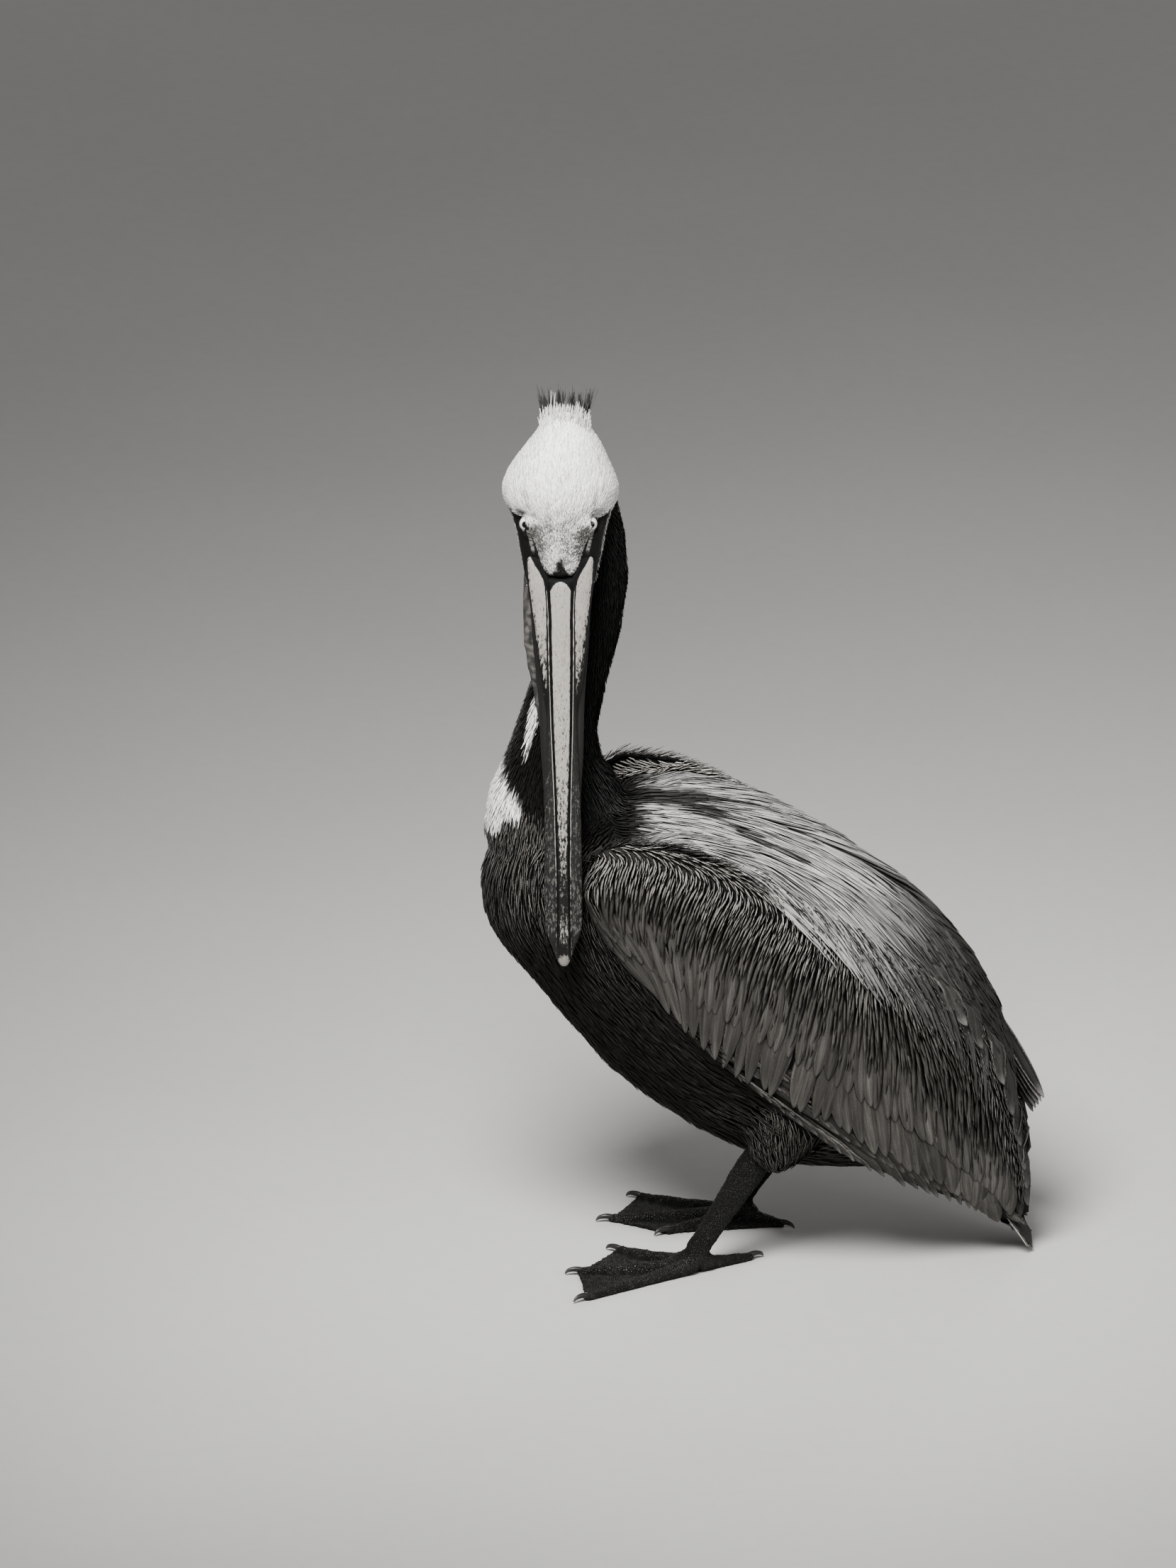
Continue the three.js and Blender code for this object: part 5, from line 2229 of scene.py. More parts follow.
@dataclass
class Mantle(BackwardsTract):
    """Long silver scapulars and the feathers of the back between them."""

    gaps: tuple = ((-100, 2.4), (-50, 3.0), (40, 4.2), (150, 6.2))
    lengths: tuple = ((-100, 17), (-60, 30), (-30, 52), (40, 84), (150, 92), (230, 66))
    widths: tuple = ((-100, 2.2), (-50, 3.1), (40, 4.4), (100, 5.8), (150, 8.5), (230, 10))

    def grows(self, sites: Sites) -> Array:
        """The scapulars and the back."""
        back = sites.place[:, 1]
        over = (MARKINGS.over_spine(sites.place) > 6) & (back > -80) & (back < 170)
        own = np.char.startswith(sites.region, "scapulars")
        return own | ((sites.region == "trunk") & over)

    def lie(self, points: Array) -> Array:
        """Back, and ever more down, and over the wing's ridge low on the flank."""
        ridge = table(WING_TOP, points[:, 1])
        low = ease(34, 6, points[:, 2] - ridge)[:, None]
        lock = 0.14 * wander(points * (1, 0.5, 1), 17.0, 19)[:, None]
        return BACK_LIE.at(points) + low * np.array((0.0, 0.0, -0.3)) + lock * (0, 0.5, 0.87)


@dataclass
class WingCoverts(Tract):
    """Small wing coverts: fine and streaked on the ridge, longer and softer below."""

    side: Side = Side.LEFT
    lowest: float = 0.42
    gaps: tuple = ((0.0, 2.4), (0.12, 2.7), (0.22, 3.6), (0.32, 4.8), (0.45, 5.8))
    lengths: tuple = ((0.0, 11), (0.12, 13), (0.22, 22), (0.32, 36), (0.45, 46))
    widths: tuple = ((0.0, 3.0), (0.12, 3.3), (0.22, 4.3), (0.32, 5.8), (0.45, 7.6))

    def grows(self, sites: Sites) -> Array:
        """The wing's outer face, its leading edge, and all its rolled ridge."""
        own = sites.region == f"wing_{self.side.word}"
        outward = sites.normal[:, 0] * self.side.value
        ridge = sites.place[:, 2] - table(WING_TOP, sites.place[:, 1]) > -26
        chosen = own & ((outward > -0.2) | (sites.place[:, 1] < -70) | ridge)
        along, down = np.ones((2, len(sites.place)))
        along[chosen], down[chosen] = WING.read(sites.place[chosen], self.side).T
        lowest = self.lowest * mix(1.0, 0.5, ease(0.74, 0.9, along))
        return chosen & (down < lowest) & (along < 0.94)

    def _down(self, sites: Sites) -> Array:
        """The share down the wing."""
        return WING.read(sites.place, self.side)[:, 1]

    def spacing(self, sites: Sites) -> Array:
        """Wider downwards."""
        return table(self.gaps, self._down(sites))

    def size(self, sites: Sites) -> tuple[Array, Array]:
        """Longer downwards, and shorter towards the tip."""
        along, down = WING.read(sites.place, self.side).T
        shorter = mix(1.0, 0.4, ease(0.7, 0.94, along))
        return table(self.lengths, down) * shorter, table(self.widths, down)

    def lift(self, sites: Sites) -> Array:
        """Flat, but ruffled up on the far wing's shoulder."""
        rise = super().lift(sites)
        if self.side is Side.RIGHT:
            ruffle = ease(20, -40, sites.place[:, 1]) * ease(0.3, 0.1, self._down(sites))
            rise += np.array((0.8, 2.4)) * ruffle[:, None]
        return rise

    def lie(self, points: Array) -> Array:
        """Back along the ridge's inward face, across the ridge, then down the wing."""
        inward = ease(-4, -14, np.abs(points[:, 0]) - table(WING_EDGE, points[:, 1]))
        inward = inward * ease(-30, -12, points[:, 2] - table(WING_TOP, points[:, 1]))
        return mix(WING_LIE.at(points), BACK_LIE.at(points), inward[:, None])


@dataclass
class Thigh(Tract):
    """Thin streaked feathers round the thighs."""

    gap: float = 2.9

    def grows(self, sites: Sites) -> Array:
        """The thighs."""
        return np.char.startswith(sites.region, "thigh")

    def size(self, sites: Sites) -> tuple[Array, Array]:
        """Shorter low down."""
        low = ease(130, 95, sites.place[:, 2])
        return mix(19.0, 11.0, low), mix(2.9, 2.2, low)

    def lie(self, points: Array) -> Array:
        """Down and round."""
        return THIGH_LIE.at(points)


@dataclass
class TailCoverts(Tract):
    """Pointed coverts over and under the tail's base."""

    gap: float = 5.5

    def grows(self, sites: Sites) -> Array:
        """The tail and the rump."""
        back = sites.place[:, 1]
        over = (MARKINGS.over_spine(sites.place) > 6) & (back < 170)
        rump = (sites.region == "trunk") & (back >= 150) & ~over
        return rump | (sites.region == "tail") & (sites.place[:, 2] > 40)

    def size(self, sites: Sites) -> tuple[Array, Array]:
        """Long and pointed."""
        low = ease(110, 50, sites.place[:, 2])
        return mix(34.0, 22.0, low), np.full(len(sites.place), 8.0)

    def lie(self, points: Array) -> Array:
        """Down along the tail."""
        return np.tile(np.array((0.0, 0.6, -0.8)), (len(points), 1))


@dataclass(frozen=True)
class QuillRow:
    """A row of large wing feathers, set out by their tips."""

    name: str
    count: int
    along: tuple  # the first and last tip's share along the wing
    down: tuple  # (share along, share down) pairs of the tips
    length: tuple  # of the first and the last, in millimetres
    width: tuple
    sink: tuple  # how far root and tip lie under the wing's outer face
    tone: Colour
    streak: Colour
    rim: float
    share: float = 0.25
    lie: Lie = WING_LIE
    past: float = 0.0  # how far a tip runs on past its place
    stagger: float = 0.0  # how far up every second and third feather sits
    brink: float = 0.9  # a tip below this share hangs free


@dataclass
class Quills:
    """The large feathers of both wings and the tail."""

    vane: Vane = field(default_factory=lambda: Vane(10, 17, 0.62, 1.15, 0.16, 0.35))
    steps: int = 12
    slats: Lie = Lie(strokes=((20, 130, 44), (60, 100, 44), (120, 80, 42), (180, 60, 34),
                              (215, 50, 22), (240, 40, 12)))
    tail_count: int = 12
    tail_line: tuple = ((0, 196, 108), (0, 222, 76), (0, 246, 42), (0, 262, 18), (0, 271, 2.2))
    far_count: int = 5
    far_line: tuple = ((-40, 200, 246), (-38, 214, 228), (-31, 241, 188), (-25, 263, 149),
                       (-20, 278, 120))
    rows: tuple = ()

    def __post_init__(self) -> None:
        """Sets out the rows from the deepest layer up."""
        dark, pale = light(0.21, 0.4), light(0.52, 0.3)
        self.rows = (
            QuillRow("primaries", 8, (0.93, 1.0), ((0.9, 0.9), (1.0, 0.2)), (120, 130),
                     (15, 13), (6.5, 4.5), light(0.14, 0.4), light(0.45, 0.3), 0.45, 0.1,
                     past=3.0),
            QuillRow("secondaries", 84, (0.36, 0.96), ((0.3, 0.985), (1.0, 0.99)), (62, 92),
                     (6.5, 10), (5.2, 2.0), dark, pale, 0.85, 0.1, self.slats, 2.0, 0.15, 1.0),
            QuillRow("coverts_great", 42, (0.08, 0.965),
                     ((0.08, 0.96), (0.4, 1.0), (0.5, 0.94), (0.6, 0.87), (0.85, 0.86),
                      (0.96, 0.96)),
                     (76, 96), (16, 18), (4.6, 1.0), light(0.29, 0.4), light(0.5, 0.3), 0.6,
                     0.35, past=3.0),
            QuillRow("coverts_median", 56, (0.06, 0.96),
                     ((0.06, 0.8), (0.36, 0.76), (0.5, 0.72), (0.8, 0.66), (0.96, 0.56)),
                     (60, 84), (11, 15), (4.2, 0.9), light(0.3, 0.4), light(0.5, 0.3), 0.35,
                     0.5),
            QuillRow("tertials", 8, (0.66, 0.97), ((0.6, 0.05), (1.0, 0.08)), (100, 84),
                     (19, 14), (4.6, 1.0), light(0.26, 0.3), light(0.55, 0.2), 0.7, 0.15,
                     BACK_LIE),
        )

    def wing(self, skin: Skin, side: Side, rng: np.random.Generator) -> list[bpy.types.Object]:
        """Builds one wing's rows.

        Args:
            skin: the finished skin.
            side: the wing's side.
            rng: the source of chance.

        Returns:
            The coat pieces.
        """
        return [self._row(skin, row, side, rng) for row in self.rows]

    def _row(self, skin: Skin, row: QuillRow, side: Side, rng: np.random.Generator
             ) -> bpy.types.Object:
        """Builds one row from its tips back to its roots.

        Args:
            skin: the finished skin.
            row: the row.
            side: the wing's side.
            rng: the source of chance.

        Returns:
            The coat piece.
        """
        share = np.linspace(0, 1, row.count)
        along = mix(*row.along, share) + rng.normal(0, 0.004, row.count)
        down = table(row.down, along) + rng.normal(0, 0.008, row.count)
        down -= row.stagger * (np.arange(row.count) % 3) / 2
        inner = np.minimum(down, row.brink)
        beyond, down = down - inner, inner
        tips = WING.surface(along, down, side)
        back, front, up, low = (WING.surface(along + far, down + deep, side) for far, deep in
                                ((0.01, 0.0), (-0.01, 0.0), (0.0, -0.01), (0.0, 0.01)))
        normal = unit(np.cross(back - front, up - low))
        normal *= np.sign(normal[:, :1]) * side.value
        tall = np.linalg.norm(catmull(WING.ridge, along) - catmull(WING.hem, along), axis=1)
        length = mix(*row.length, share) * rng.normal(1, 0.05, row.count)
        if row.name.startswith("coverts"):
            length *= np.clip(tall / 150, 0.6, 1.0)
        turn = np.radians(rng.normal(0, 3.0, row.count))[:, None]
        level = lay_down(row.lie.at(tips), normal)
        level = level * np.cos(turn) + np.cross(normal, level) * np.sin(turn)
        points, normals = skin.form.march(
            tips, -level, normal, length, self.steps, lambda spots: -row.lie.at(spots))
        points, normals = points[:, ::-1].copy(), normals[:, ::-1].copy()
        past = (row.past + beyond * tall)[:, None]
        for place, part in ((-1, 1.0), (-2, 0.62), (-3, 0.28)):
            points[:, place] += level * past * part
        marks = Marks.plain(row.count, row.tone, row.streak, row.share, 0.5, row.rim)
        lift = np.tile(-np.array(row.sink), (row.count, 1)) + rng.normal(0, 0.2, (row.count, 1))
        feathers = Feathers(points, normals, mix(*row.width, share), length, lift, marks,
                            skin.patches(points[:, 2]))
        name = f"quills_{row.name}_{side.word}"
        made = feathers.piece(name, self.vane, Plumage("wing plumage"), rng, 0.75, 4.0)
        log.info("%s: %d feathers", name, row.count)
        return made

    def tail(self, skin: Skin, rng: np.random.Generator) -> bpy.types.Object:
        """Builds the fan of tail feathers, stacked towards its middle.

        Args:
            skin: the finished skin.
            rng: the source of chance.

        Returns:
            The coat piece.
        """
        share = np.linspace(-1, 1, self.tail_count)
        step = np.linspace(0, 1, self.steps + 1)
        middle = catmull(self.tail_line, step)
        ahead = unit(np.gradient(middle, axis=0))
        points = middle[None] + np.zeros((len(share), 1, 3))
        points[..., 0] = share[:, None] * mix(14.0, 20.0, step)[None]
        normal = unit(np.cross(np.array((1.0, 0, 0)), ahead))
        layer = (1 - np.abs(share)) * 5.5 - 2.6
        points += normal[None] * layer[:, None, None] * mix(1.0, 0.25, step)[None, :, None]
        points[:, -1] += -ahead[-1] * (np.abs(share) * 5.0)[:, None]
        marks = Marks.plain(len(share), light(0.4, 0.4), light(0.74, 0.2), 0.12, 0.5, 0.9)
        return self._fan("quills_tail", points, normal, (14.0, 115.0), marks,
                         skin.patches(points[:, 2]), rng)

    def far_tertials(self, skin: Skin, rng: np.random.Generator) -> bpy.types.Object:
        """Builds the innermost flight feathers of the right wing, which stand out behind.

        Args:
            skin: the finished skin.
            rng: the source of chance.

        Returns:
            The coat piece.
        """
        share = np.linspace(0, 1, self.far_count)
        step = np.linspace(0, 1, self.steps + 1)
        middle = catmull(self.far_line, step)
        ahead = unit(np.gradient(middle, axis=0))
        points = middle[None] + np.zeros((len(share), 1, 3))
        back = (share - 0.35)[:, None] * (0, -9.0, -15.0)
        points += back[:, None] * step[None, :, None]
        points[..., 0] += ((share - 0.5) * -7.0)[:, None]
        normal = unit(np.cross(ahead, np.array((0.0, 0.6, 0.8))))
        normal = unit(normal + np.array((-0.3, 0.5, 0.5)))
        marks = Marks.plain(len(share), light(0.15, 0.4), light(0.66, 0.2), 0.1, 0.5, 0.95)
        return self._fan("quills_tertials_far", points, normal, (13.0, 140.0), marks,
                         skin.patches(points[:, 1]), rng)

    def _fan(self, name: str, points: Array, normal: Array, size: tuple[float, float],
             marks: Marks, patch: Array, rng: np.random.Generator) -> bpy.types.Object:
        """Builds feathers that stand free of the skin.

        Args:
            name: the piece's name.
            points: the feathers' middle lines.
            normal: the normals along each line, which all of them share.
            size: their width and length in millimetres.
            marks: their marks.
            patch: their places on the skin's unwrap.
            rng: the source of chance.

        Returns:
            The coat piece.
        """
        count = len(points)
        feathers = Feathers(points, np.tile(normal[None], (count, 1, 1)),
                            np.full(count, size[0]), np.full(count, size[1]),
                            np.zeros((count, 2)), marks, patch)
        return feathers.piece(name, self.vane, Plumage("wing plumage"), rng, 0.8, 3.0)


@dataclass
class Crest:
    """The spiky crest: white plumes in front and dark ones behind them."""

    white: int = 420
    dark: int = 400
    tufts: int = 21
    strays: int = 5  # the first white plumes, which are long and stand together
    steps: int = 5
    vane: Vane = Vane(3, 5, 0.3, 1.5, 0.2, 0.3)

    def build(self, skin: Skin, rng: np.random.Generator) -> bpy.types.Object:
        """Builds the crest.

        Args:
            skin: the finished skin.
            rng: the source of chance.

        Returns:
            The coat piece.
        """
        count = self.white + self.dark
        dark = np.arange(count) >= self.white
        side = np.where(dark, rng.uniform(-18, 28, count), rng.uniform(-15, 24, count))
        side[:self.strays] = -5.0
        back = rng.random(count)
        up = np.where(dark, 140, mix(128, 136, back)) - 7 * ((side - 5.0) / 20) ** 2
        out = np.where(dark, mix(-42, -30, back), mix(-2, -24, back))
        start = HEAD.place(-up, out, side)
        found = [skin.surface.tree.find_nearest(spot) for spot in start]
        start = np.array([spot for spot, _, _, _ in found])
        root = skin.surface.face_normals[[face for _, _, face, _ in found]]
        tufts = np.linspace(-14, 25, self.tufts) + rng.normal(0, 1.2, self.tufts)
        tuft = np.abs(side[:, None] - tufts).argmin(1)
        tilt = 0.009 * (tufts - 5) + rng.normal(0, 0.09, self.tufts)
        tall = rng.uniform(0.7, 1.1, self.tufts)
        draw = 0.025 * (tufts[tuft] - side)
        aim = np.stack((-np.ones(count), np.where(dark, -0.3, -0.12),
                        tilt[tuft] * np.where(dark, 1.0, 0.6) + draw
                        + rng.normal(0, 0.06, count)), -1)
        heading = unit(aim) @ HEAD.axes
        reach = np.where(dark, rng.uniform(16, 30, count), rng.uniform(4, 12, count))
        reach = reach * tall[tuft]
        reach[:self.strays] = rng.uniform(18, 27, self.strays)
        step = np.linspace(0, 1, self.steps + 1)
        bend = heading[:, None] * (reach[:, None] * step)[..., None]
        curl = (-0.12 * reach[:, None] * step**2)[..., None] * HEAD.axes[1]
        points = start[:, None] + bend + curl
        normals = np.tile(unit(np.cross(heading, np.cross(root, heading)))[:, None],
                          (1, self.steps + 1, 1))
        marks = Marks.plain(count, light(0.93, 0.1))
        marks.lay(dark.astype(float), light(0.24, 0.4), light(0.46, 0.2), 0.35, 0.3)
        width = rng.uniform(0.4, 0.95, count) * np.where(dark, 1.4, 1.0)
        feathers = Feathers(points, normals, width, reach, np.zeros((count, 2)) + 0.3, marks,
                            skin.patches(start))
        return feathers.piece("coat_crest", self.vane, Plumage("head plumage"), rng, 0.8, 25.0)


@dataclass
class Coat:
    """All the feathers, tract by tract."""

    spacing: float = 1.0  # between candidate sites on the body, in millimetres
    fine_spacing: float = 0.55  # the same on the head
    plush: Vane = Vane(3, 2, 0.35, 1.3, 0.3, 0.2, 0.85)
    small: Vane = Vane(3, 3, 0.35, 1.3, 0.3, 0.2, 0.6)
    long: Vane = Vane(3, 5, 0.38, 1.35, 0.3, 0.3, 0.3)
    broad: Vane = Vane(5, 6, 0.42, 1.35, 0.22, 0.3)

    def build(self, skin: Skin) -> list[bpy.types.Object]:
        """Grows every tract and every quill.

        Args:
            skin: the finished skin.

        Returns:
            The coat pieces.
        """
        rng = np.random.default_rng(SEED)
        sites = skin.scatter(self.spacing, rng)
        log.info("%d candidate sites", len(sites.place))
        white = Plumage("head plumage", 0.75, 0.2, 0.25, 0.0, 0.1)
        velvet = Plumage("neck velvet", 0.8, 0.18, 0.15, 0.0, 0.1)
        dark = Plumage("body plumage", 0.62, 0.3, 0.0, 0.3)
        silver = Plumage("silver plumage", 0.55, 0.4, 0.0, 1.0, 0.3)
        wing = Plumage("wing plumage", 0.58, 0.35, 0.0, 1.0, 0.3)
        fine = skin.scatter(self.fine_spacing, rng, ("head", "pouch", "neck_upper"))
        # after each vane come steps, jitter and the painted shade at the feathers' roots
        tracts = [
            HeadPlush("coat_head", white, self.plush, 3, 10.0, 0.9),
            Fringe("coat_fringe", white, self.small, 3, 16.0, 0.9, 2.0),
            NeckVelvet("coat_neck", velvet, self.small, 3, 4.0, 0.7),
            BodyTract("coat_breast", dark, self.long, 4, 6.0, 0.6, last=-60.0),
            BodyTract("coat_belly", dark, self.small, 4, 5.0, 0.75, first=-60.0, last=150.0),
            Thigh("coat_thighs", dark, self.long, 5, 4.0, 0.6),
            TailCoverts("coat_tail", wing, self.broad, 5, 5.0, 0.6),
            Mantle("coat_mantle", silver, self.broad, 8, 3.5, 0.42),
        ]
        for side in Side:
            tracts.append(WingCoverts(f"coat_wing_{side.word}", wing, self.long, 5, 6.0, 0.55,
                                      side=side))
        pieces = []
        for tract in tracts:
            chosen = fine if isinstance(tract, (HeadPlush, Fringe)) else sites
            pieces.append(tract.build(skin, chosen, rng))
        quills = Quills()
        for side in Side:
            pieces += quills.wing(skin, side, rng)
        pieces += [quills.tail(skin, rng), quills.far_tertials(skin, rng)]
        pieces.append(Crest().build(skin, rng))
        return pieces


# ---- Bill and claws ----------------------------------------------------------------------------


@dataclass
class Bill:
    """The bill: an upper half with its raised middle strip and nail, and a lower half.

    The halves' rows are (share along, out, wide, tall), and those of the other tables are
    (share along, value), apart from plate_top.
    """

    upper: tuple = ((-0.085, 1.0, 28.6, 8.5), (0.0, 1.0, 27.6, 9), (0.045, 0.8, 25.8, 8.8),
                    (0.115, 0.5, 23.2, 8.4), (0.18, 0, 21.2, 7.6), (0.27, 0, 16.8, 6.5),
                    (0.34, 0, 12.8, 6), (0.44, 0, 13, 5.5), (0.54, 0, 14.4, 5),
                    (0.66, 0, 15.4, 4.8), (0.8, 0, 15.8, 4.8), (0.9, -0.5, 14.8, 4.8),
                    (0.95, -2.3, 9.6, 4.6), (0.982, -5.4, 6.0, 4.2), (1.0, -8, 2.8, 3.2))
    lower: tuple = ((-0.05, -7.5, 26, 6.5), (0.12, -7, 24, 6), (0.22, -6.4, 21.5, 5.4),
                    (0.32, -5.7, 18.8, 4.9), (0.44, -5.1, 17.6, 4.5), (0.56, -4.8, 15.4, 4.2),
                    (0.78, -4.7, 14, 3.9), (0.9, -5.2, 10, 3.6), (0.955, -7, 5, 2.7))
    strip: tuple = ((0.02, 8.8), (0.09, 7.9), (0.2, 7.7), (0.37, 6.8), (0.56, 4.9),
                    (0.74, 4.15), (0.9, 4.3), (1.0, 5.0))  # half width of the middle strip
    groove: tuple = ((0, 2.1), (0.3, 1.8), (0.6, 1.5), (1, 1.2))  # width beside the strip
    plate: tuple = ((-0.085, 28.0), (0, 26.4), (0.045, 24.6), (0.115, 21.9), (0.18, 19.8),
                    (0.275, 15.6), (0.34, 13))  # the base plates' outer edges
    plate_top: tuple = ((-28, 28.6), (-24, 26.0), (-14, 20.4), (-8, 16.6), (-2, 13.8),
                        (10, 11.6))  # along, and the plates' inner edges over the base
    strip_pale: tuple = ((0, 0.68), (0.3, 0.6), (0.48, 0.56), (0.6, 0.52), (0.7, 0.47),
                         (0.78, 0.41), (0.86, 0.38), (0.9, 0.47), (0.935, 0.44), (0.95, 0.3),
                         (0.968, 0.34), (0.976, 0.52), (0.984, 0.64), (1, 0.62))
    plate_pale: tuple = ((-0.08, 0.66), (0.08, 0.61), (0.16, 0.55), (0.23, 0.49), (0.29, 0.42),
                         (0.34, 0.3))
    band_pale: tuple = ((0.28, 0.3), (0.4, 0.36), (0.55, 0.41), (0.75, 0.42), (0.9, 0.45),
                        (0.95, 0.3))
    ridge_pale: tuple = ((0, 0.78), (0.45, 0.7), (0.65, 0.56), (0.8, 0.46), (1, 0.42))

    def _rows(self, rows: tuple) -> list[tuple]:
        """Stations in the bird's millimetres."""
        return [(*HEAD.place(share * HEAD.bill, out, share * HEAD.drift), wide, tall)
                for share, out, wide, tall in rows]

    def _relief(self, share: Array, side: Array, upward: Array) -> Array:
        """Shapes strip, grooves and ridges.

        Args:
            share: shares along the sweep.
            side: offsets to the side in millimetres.
            upward: upward shares from -1 to 1.

        Returns:
            The height over a plain bill.
        """
        place = catmull(np.array(self.upper)[:, :1], share)[:, 0]
        gap, wide = self._gap(place, side)
        fade = ease(-0.01, 0.02, place) * ease(0.97, 0.92, place)
        strip = 0.9 * ease(0.5, -0.7, gap) * ease(1.0, 0.93, place) * ease(-0.012, 0.012, place)
        crown = 0.5 * np.clip(-gap / 8.0, 0, 1) * ease(0, 0.05, place)
        cut = 0.95 * ease(-0.2, 0.4, gap) * ease(wide + 0.2, wide - 0.4, gap) * fade
        ridge = 0.45 * np.exp(-(((gap - wide - 0.5) / 0.45) ** 2)) * fade
        second = 0.25 * np.exp(-(((gap - wide - 1.3) / 0.3) ** 2)) * fade
        flank = np.abs(side)
        up = -place * HEAD.bill
        under = ease(1.5, -1.0, flank - table(HeadMarks.wedge, up)) * ease(1.0, 6.0, up)
        return np.where(upward > 0, strip + crown - cut + ridge - second - 4.6 * under, 0.0)

    def _gap(self, share: Array, side: Array) -> tuple[Array, Array]:
        """How far points lie outside the strip's edge, and the groove's width there."""
        return np.abs(side) - table(self.strip, share), table(self.groove, share)

    def build_upper(self) -> bpy.types.Object:
        """Builds the upper half with its markings and the painted shade of its grooves.

        Returns:
            The piece.
        """
        sweep = Sweep(self._rows(self.upper), (0, -1, 0), 200, 260, 0.35, (0.03, 0.02))
        piece = make_piece("bill_top", sweep.mesh(self._relief))
        along, out, side = HEAD.read(to_bird(get_places(piece.data))).T
        share = along / HEAD.bill
        side = np.abs(side - share * HEAD.drift)
        top = ease(-1.5, 0.5, out - table(tuple((row[0], row[1]) for row in self.upper), share))
        gap, wide = self._gap(share, side)
        start = along + 1.0 - 8.0 * np.clip(side / table(self.strip, share), 0, 1) ** 2.5
        on_strip = ease(0.3, -0.25, gap) * ease(-0.7, 0.5, start)
        edge = table(self.plate, share)
        inner = ease(-0.5, 0.5, side - table(self.plate_top, along))
        outer = ease(0.5, -0.5, side - edge)
        on_plate = outer * inner * ease(0.36, 0.31, share) * ease(wide + 1.3, wide + 1.7, gap)
        band = table(self.band_pale, share) * ease(0.3, 0.36, share)
        pale = np.maximum(table(self.plate_pale, share) * on_plate, band)
        pale -= 0.12 * on_plate * ease(-3.5, -0.5, side - edge)
        ridge = ease(wide, wide + 0.3, gap) * ease(wide + 1.15, wide + 0.85, gap) * ease(
            2, 9, along)
        pale = mix(pale, table(self.ridge_pale, share), ridge)
        strip_pale = table(self.strip_pale, share) - 0.1 * ease(-1.8, -0.2, gap) * ease(
            0.42, 0.6, share)
        pale = mix(pale, strip_pale, on_strip)
        # painted shade: the groove beside the strip and the second fine groove beyond its ridge are
        # painted near black
        groove = ease(-0.2, 0.15, gap) * ease(wide + 0.15, wide - 0.15, gap)
        second = 0.8 * np.exp(-(((gap - wide - 1.3) / 0.28) ** 2))
        dark = np.maximum(groove, second) * ease(0.96, 0.9, share) * ease(0, 4, along)
        before = (1 - inner) * ease(14, 8, along) * (1 - on_strip) * (1 - ridge)
        dark = np.maximum(dark, before) * top
        rest = 1 - np.maximum(on_strip, np.maximum(on_plate, ridge))
        grey = rest * ease(0.3, 0.36, share) * table(((0.3, 0.85), (0.5, 0.75), (0.9, 0.6)),
                                                     share)
        margin = (1 - outer) * ease(0.36, 0.3, share) * 0.75
        grey = np.maximum(np.maximum(grey, margin), (1 - top) * 0.75)
        set_colour(piece.data, "horn", np.stack((pale * top, dark, grey), -1))
        piece.data.materials.append(Horn().material())
        return piece

    def build_lower(self) -> bpy.types.Object:
        """Builds the lower half, smooth and grey.

        Returns:
            The piece.
        """
        sweep = Sweep(self._rows(self.lower), (0, -1, 0), 72, 130, caps=(0.03, 0.04))
        edge = sweep.mesh(lambda share, side, up: np.where(up > 0, -0.5 * (up < 0.45), 0.0))
        piece = make_piece("bill_under", edge)
        along, _, side = HEAD.read(to_bird(get_places(piece.data))).T
        share = along / HEAD.bill
        pale = 0.15 + 0.25 * ease(0.4, 0.9, share) + 0.0 * side
        grey = 0.85 - 0.5 * ease(0.5, 0.9, share)
        set_colour(piece.data, "horn", np.stack((pale, 0 * pale, grey), -1))
        piece.data.materials.append(Horn().material())
        return piece


@dataclass
class Claws:
    """The curved claws, one to a toe."""

    reach: float = 13.0
    rows: tuple = ((-0.4, 4.2, 2.3, 2.5), (0.12, 5.2, 2.0, 2.2), (0.55, 4.2, 1.3, 1.6),
                   (0.78, 1.2, 0.4, 0.5))

    def build(self, foot: FootShape, toe: str) -> bpy.types.Object:
        """Builds one claw.

        Args:
            foot: the leg that it grows on.
            toe: the toe's name.

        Returns:
            The claw.
        """
        heading, length = foot.heading(toe), foot.toes[toe][1]
        rows = [(*foot.point(toe, length + self.reach * share, up), wide, tall)
                for share, up, wide, tall in self.rows]
        across = (-heading[1], heading[0], 0.0)
        sweep = Sweep(rows, across, 16, 22, caps=(0.1, 0.1))
        piece = make_piece(f"nail_{foot.side.word}_{toe}", sweep.mesh())
        spots = to_bird(get_places(piece.data))
        start = foot.point(toe, length)
        wear = ease(0.35, 0.95, (spots - start) @ heading / self.reach)
        set_colour(piece.data, "wear", np.stack((wear, 0 * wear, 0 * wear), -1))
        piece.data.materials.append(ClawHorn().material())
        return piece


# ---- Studio ------------------------------------------------------------------------------------


@dataclass(frozen=True)
class Lamp:
    """A soft lamp that shines at the bird."""

    kind: str  # AREA or SPOT
    place: tuple  # in metres from the frame's origin
    power: float  # in watts
    size: float  # its side, or its radius, in metres
    cone: float = 0.0  # how wide a spot opens, in degrees
    target: tuple = (0.0, 0.0, 0.35)

    def hang(self) -> None:
        """Adds the lamp to the scene."""
        lamp = bpy.data.lights.new("soft lamp", self.kind)
        lamp.energy = self.power
        if self.kind == "AREA":
            lamp.size = self.size
        else:
            lamp.shadow_soft_size = self.size
            lamp.spot_size, lamp.spot_blend = math.radians(self.cone), 1.0
        made = add_object("soft lamp", lamp)
        made.location = self.place
        aim = Vector(self.target) - Vector(self.place)
        made.rotation_euler = aim.to_track_quat("-Z", "Y").to_euler()


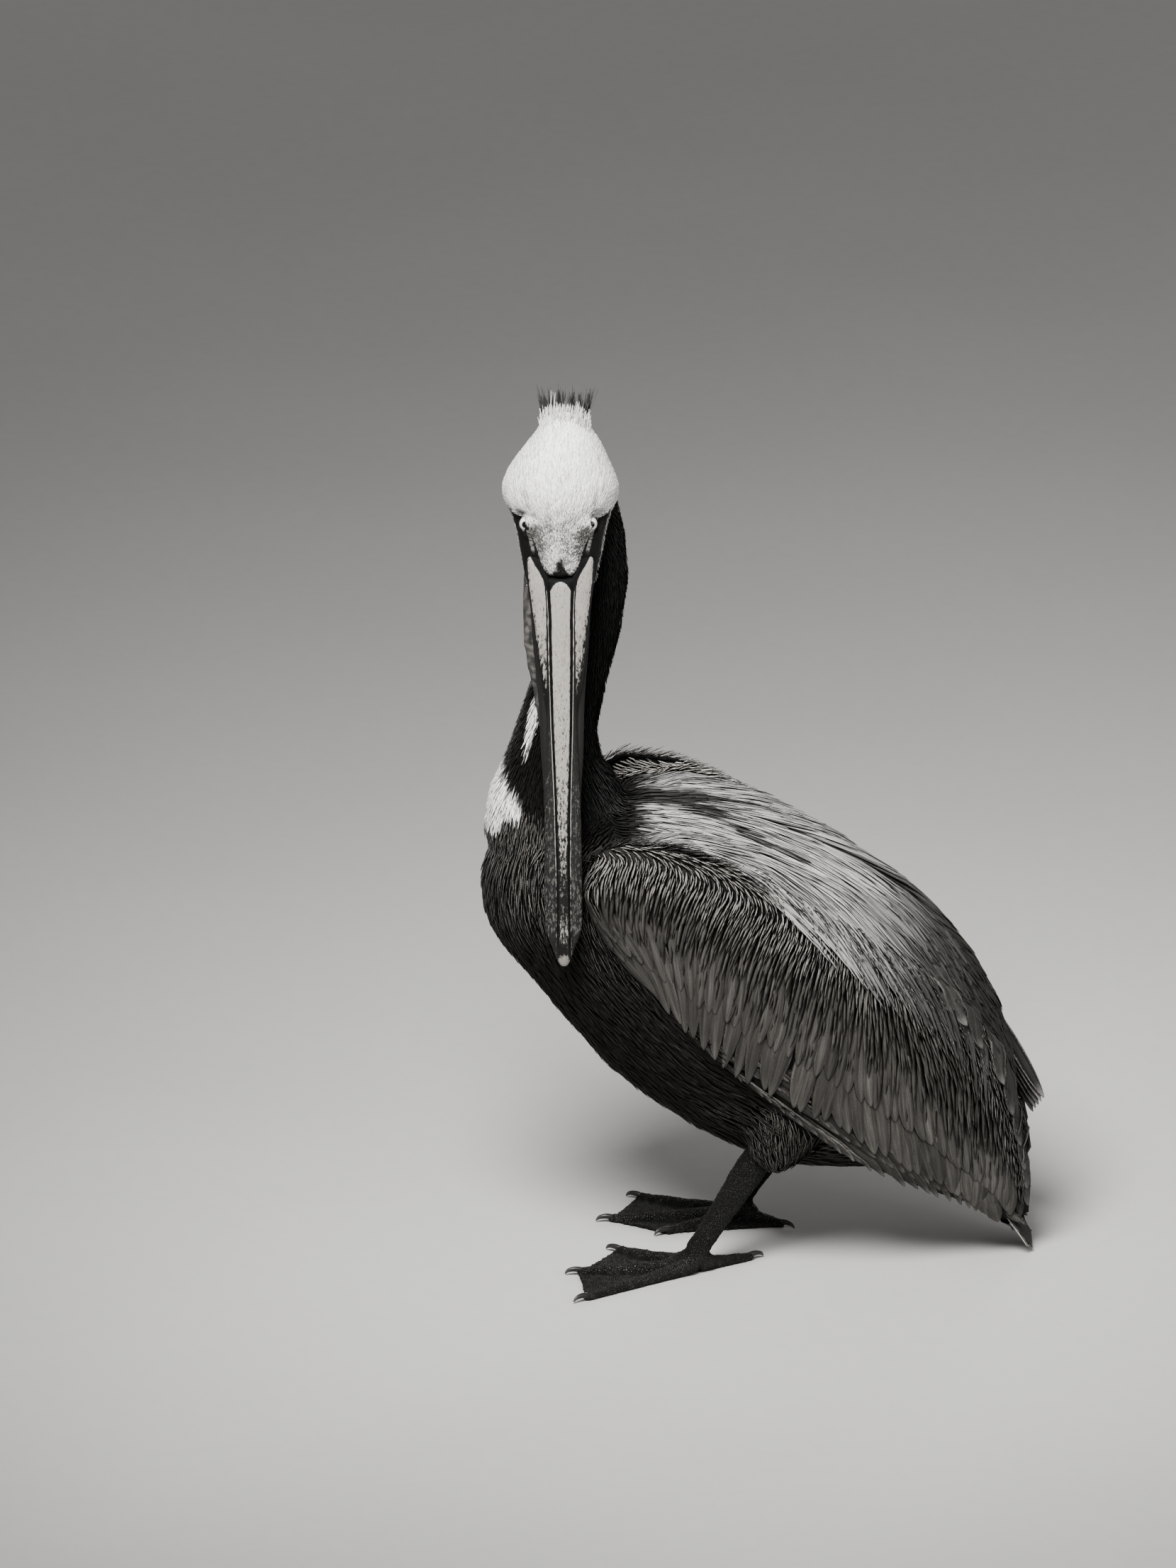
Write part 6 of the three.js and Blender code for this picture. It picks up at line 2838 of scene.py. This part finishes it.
@dataclass
class Studio:
    """A plain pale floor, soft lights and the camera."""

    floor_size: float = 60.0
    floor_height: float = -0.0002  # just under the feet
    sky: float = 0.3
    key: Lamp = Lamp("SPOT", (1.7, -0.6, 2.75), 560.0, 0.75, 46.0)
    fill: Lamp = Lamp("AREA", (2.0, 2.2, 1.6), 14.0, 1.6)
    rim: Lamp = Lamp("SPOT", (-2.2, 0.7, 1.3), 60.0, 0.5, 24.0)
    aim: tuple = (0.0, -100.3, 410.7)  # in the bird's millimetres
    distance: float = 14.5
    azimuth: float = math.radians(90.0)
    elevation: float = math.radians(20.0)
    frame_height: float = 2212 / 1700  # how much of the scene the view is high, in metres

    def floor(self) -> bpy.types.Object:
        """Builds the floor.

        Returns:
            The piece.
        """
        bm = bmesh.new()
        bmesh.ops.create_grid(bm, x_segments=2, y_segments=2, size=self.floor_size / 2)
        bmesh.ops.translate(bm, verts=bm.verts[:], vec=(0, 0, self.floor_height))
        floor = make_piece("floor", bm, in_bird=False)
        floor.data.materials.append(Matt().material())
        return floor

    def lights(self) -> None:
        """Adds the sky, a key lamp that pools round the bird, a weak fill and a narrow rim lamp."""
        world = bpy.data.worlds.new("studio")
        bpy.context.scene.world = world
        world.use_nodes = True
        sky = world.node_tree.nodes["Background"]
        Tree(world.node_tree).feed_all(sky, {"Color": (1, 1, 1), "Strength": self.sky})
        for lamp in (self.key, self.fill, self.rim):
            lamp.hang()
        bpy.context.scene.view_settings.look = "AgX - High Contrast"

    def camera(self) -> None:
        """Adds the camera."""
        back = Vector((math.sin(self.azimuth) * math.cos(self.elevation),
                       -math.cos(self.azimuth) * math.cos(self.elevation),
                       math.sin(self.elevation)))
        data = bpy.data.cameras.new("camera")
        data.sensor_fit = "VERTICAL"
        data.sensor_height = 36.0
        data.lens = data.sensor_height * self.distance / self.frame_height
        data.clip_end = 60.0
        made = add_object("camera", data)
        made.location = Vector(to_frame(self.aim)) + back * self.distance
        made.rotation_euler = (-back).to_track_quat("-Z", "Y").to_euler()
        bpy.context.scene.camera = made


# ---- Assembly ----------------------------------------------------------------------------------


def declare(piece: bpy.types.Object, slot: str, *nodes: str) -> None:
    """Rides a piece on the model, hides the nodes that it stands for and logs their names.

    Args:
        piece: the piece.
        slot: the record's slot; not used.
        nodes: the nodes that it stands for, if any.
    """
    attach(piece, "root")
    if nodes:
        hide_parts(*nodes)
    log.info("%s stands for %s", piece.name, ", ".join(nodes) or "no node")


def coat_slot(name: str) -> str:
    """Finds the record's slot for a coat piece.

    Args:
        name: the piece's name.

    Returns:
        The slot.
    """
    if name in ("coat_head", "coat_crest", "coat_fringe"):
        return "plumage_white"
    if "mantle" in name:
        return "plumage_silver"
    dark = ("coat_neck", "coat_breast", "coat_belly", "coat_thighs")
    return "plumage_dark" if name in dark else "plumage_grey"


def main() -> None:
    """Builds the bird around the frame, then the studio."""
    logging.basicConfig(level=logging.INFO, format="%(name)s: %(message)s")
    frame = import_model()
    skin = Skin()
    declare(skin.build(frame["nodes"]), "plumage_dark", *skin.flesh, *skin.legs)
    stands_for = {"coat_crest": ("crest",), "quills_tertials_far": ("tertials_right",)}
    for piece in Coat().build(skin):
        declare(piece, coat_slot(piece.name), *stands_for.get(piece.name, ()))
    bill = Bill()
    declare(bill.build_upper(), "horn", "bill_upper")
    declare(bill.build_lower(), "horn", "bill_lower")
    for side in Side:
        declare(skin.eyes.build(side), "eye", f"eye_{side.word}")
    for foot in FEET:
        for toe in foot.toes:
            declare(Claws().build(foot, toe), "claw", f"claw_{foot.side.word}_{toe}")
    studio = Studio()
    studio.floor()
    studio.lights()
    studio.camera()


if __name__ == "__main__":
    main()
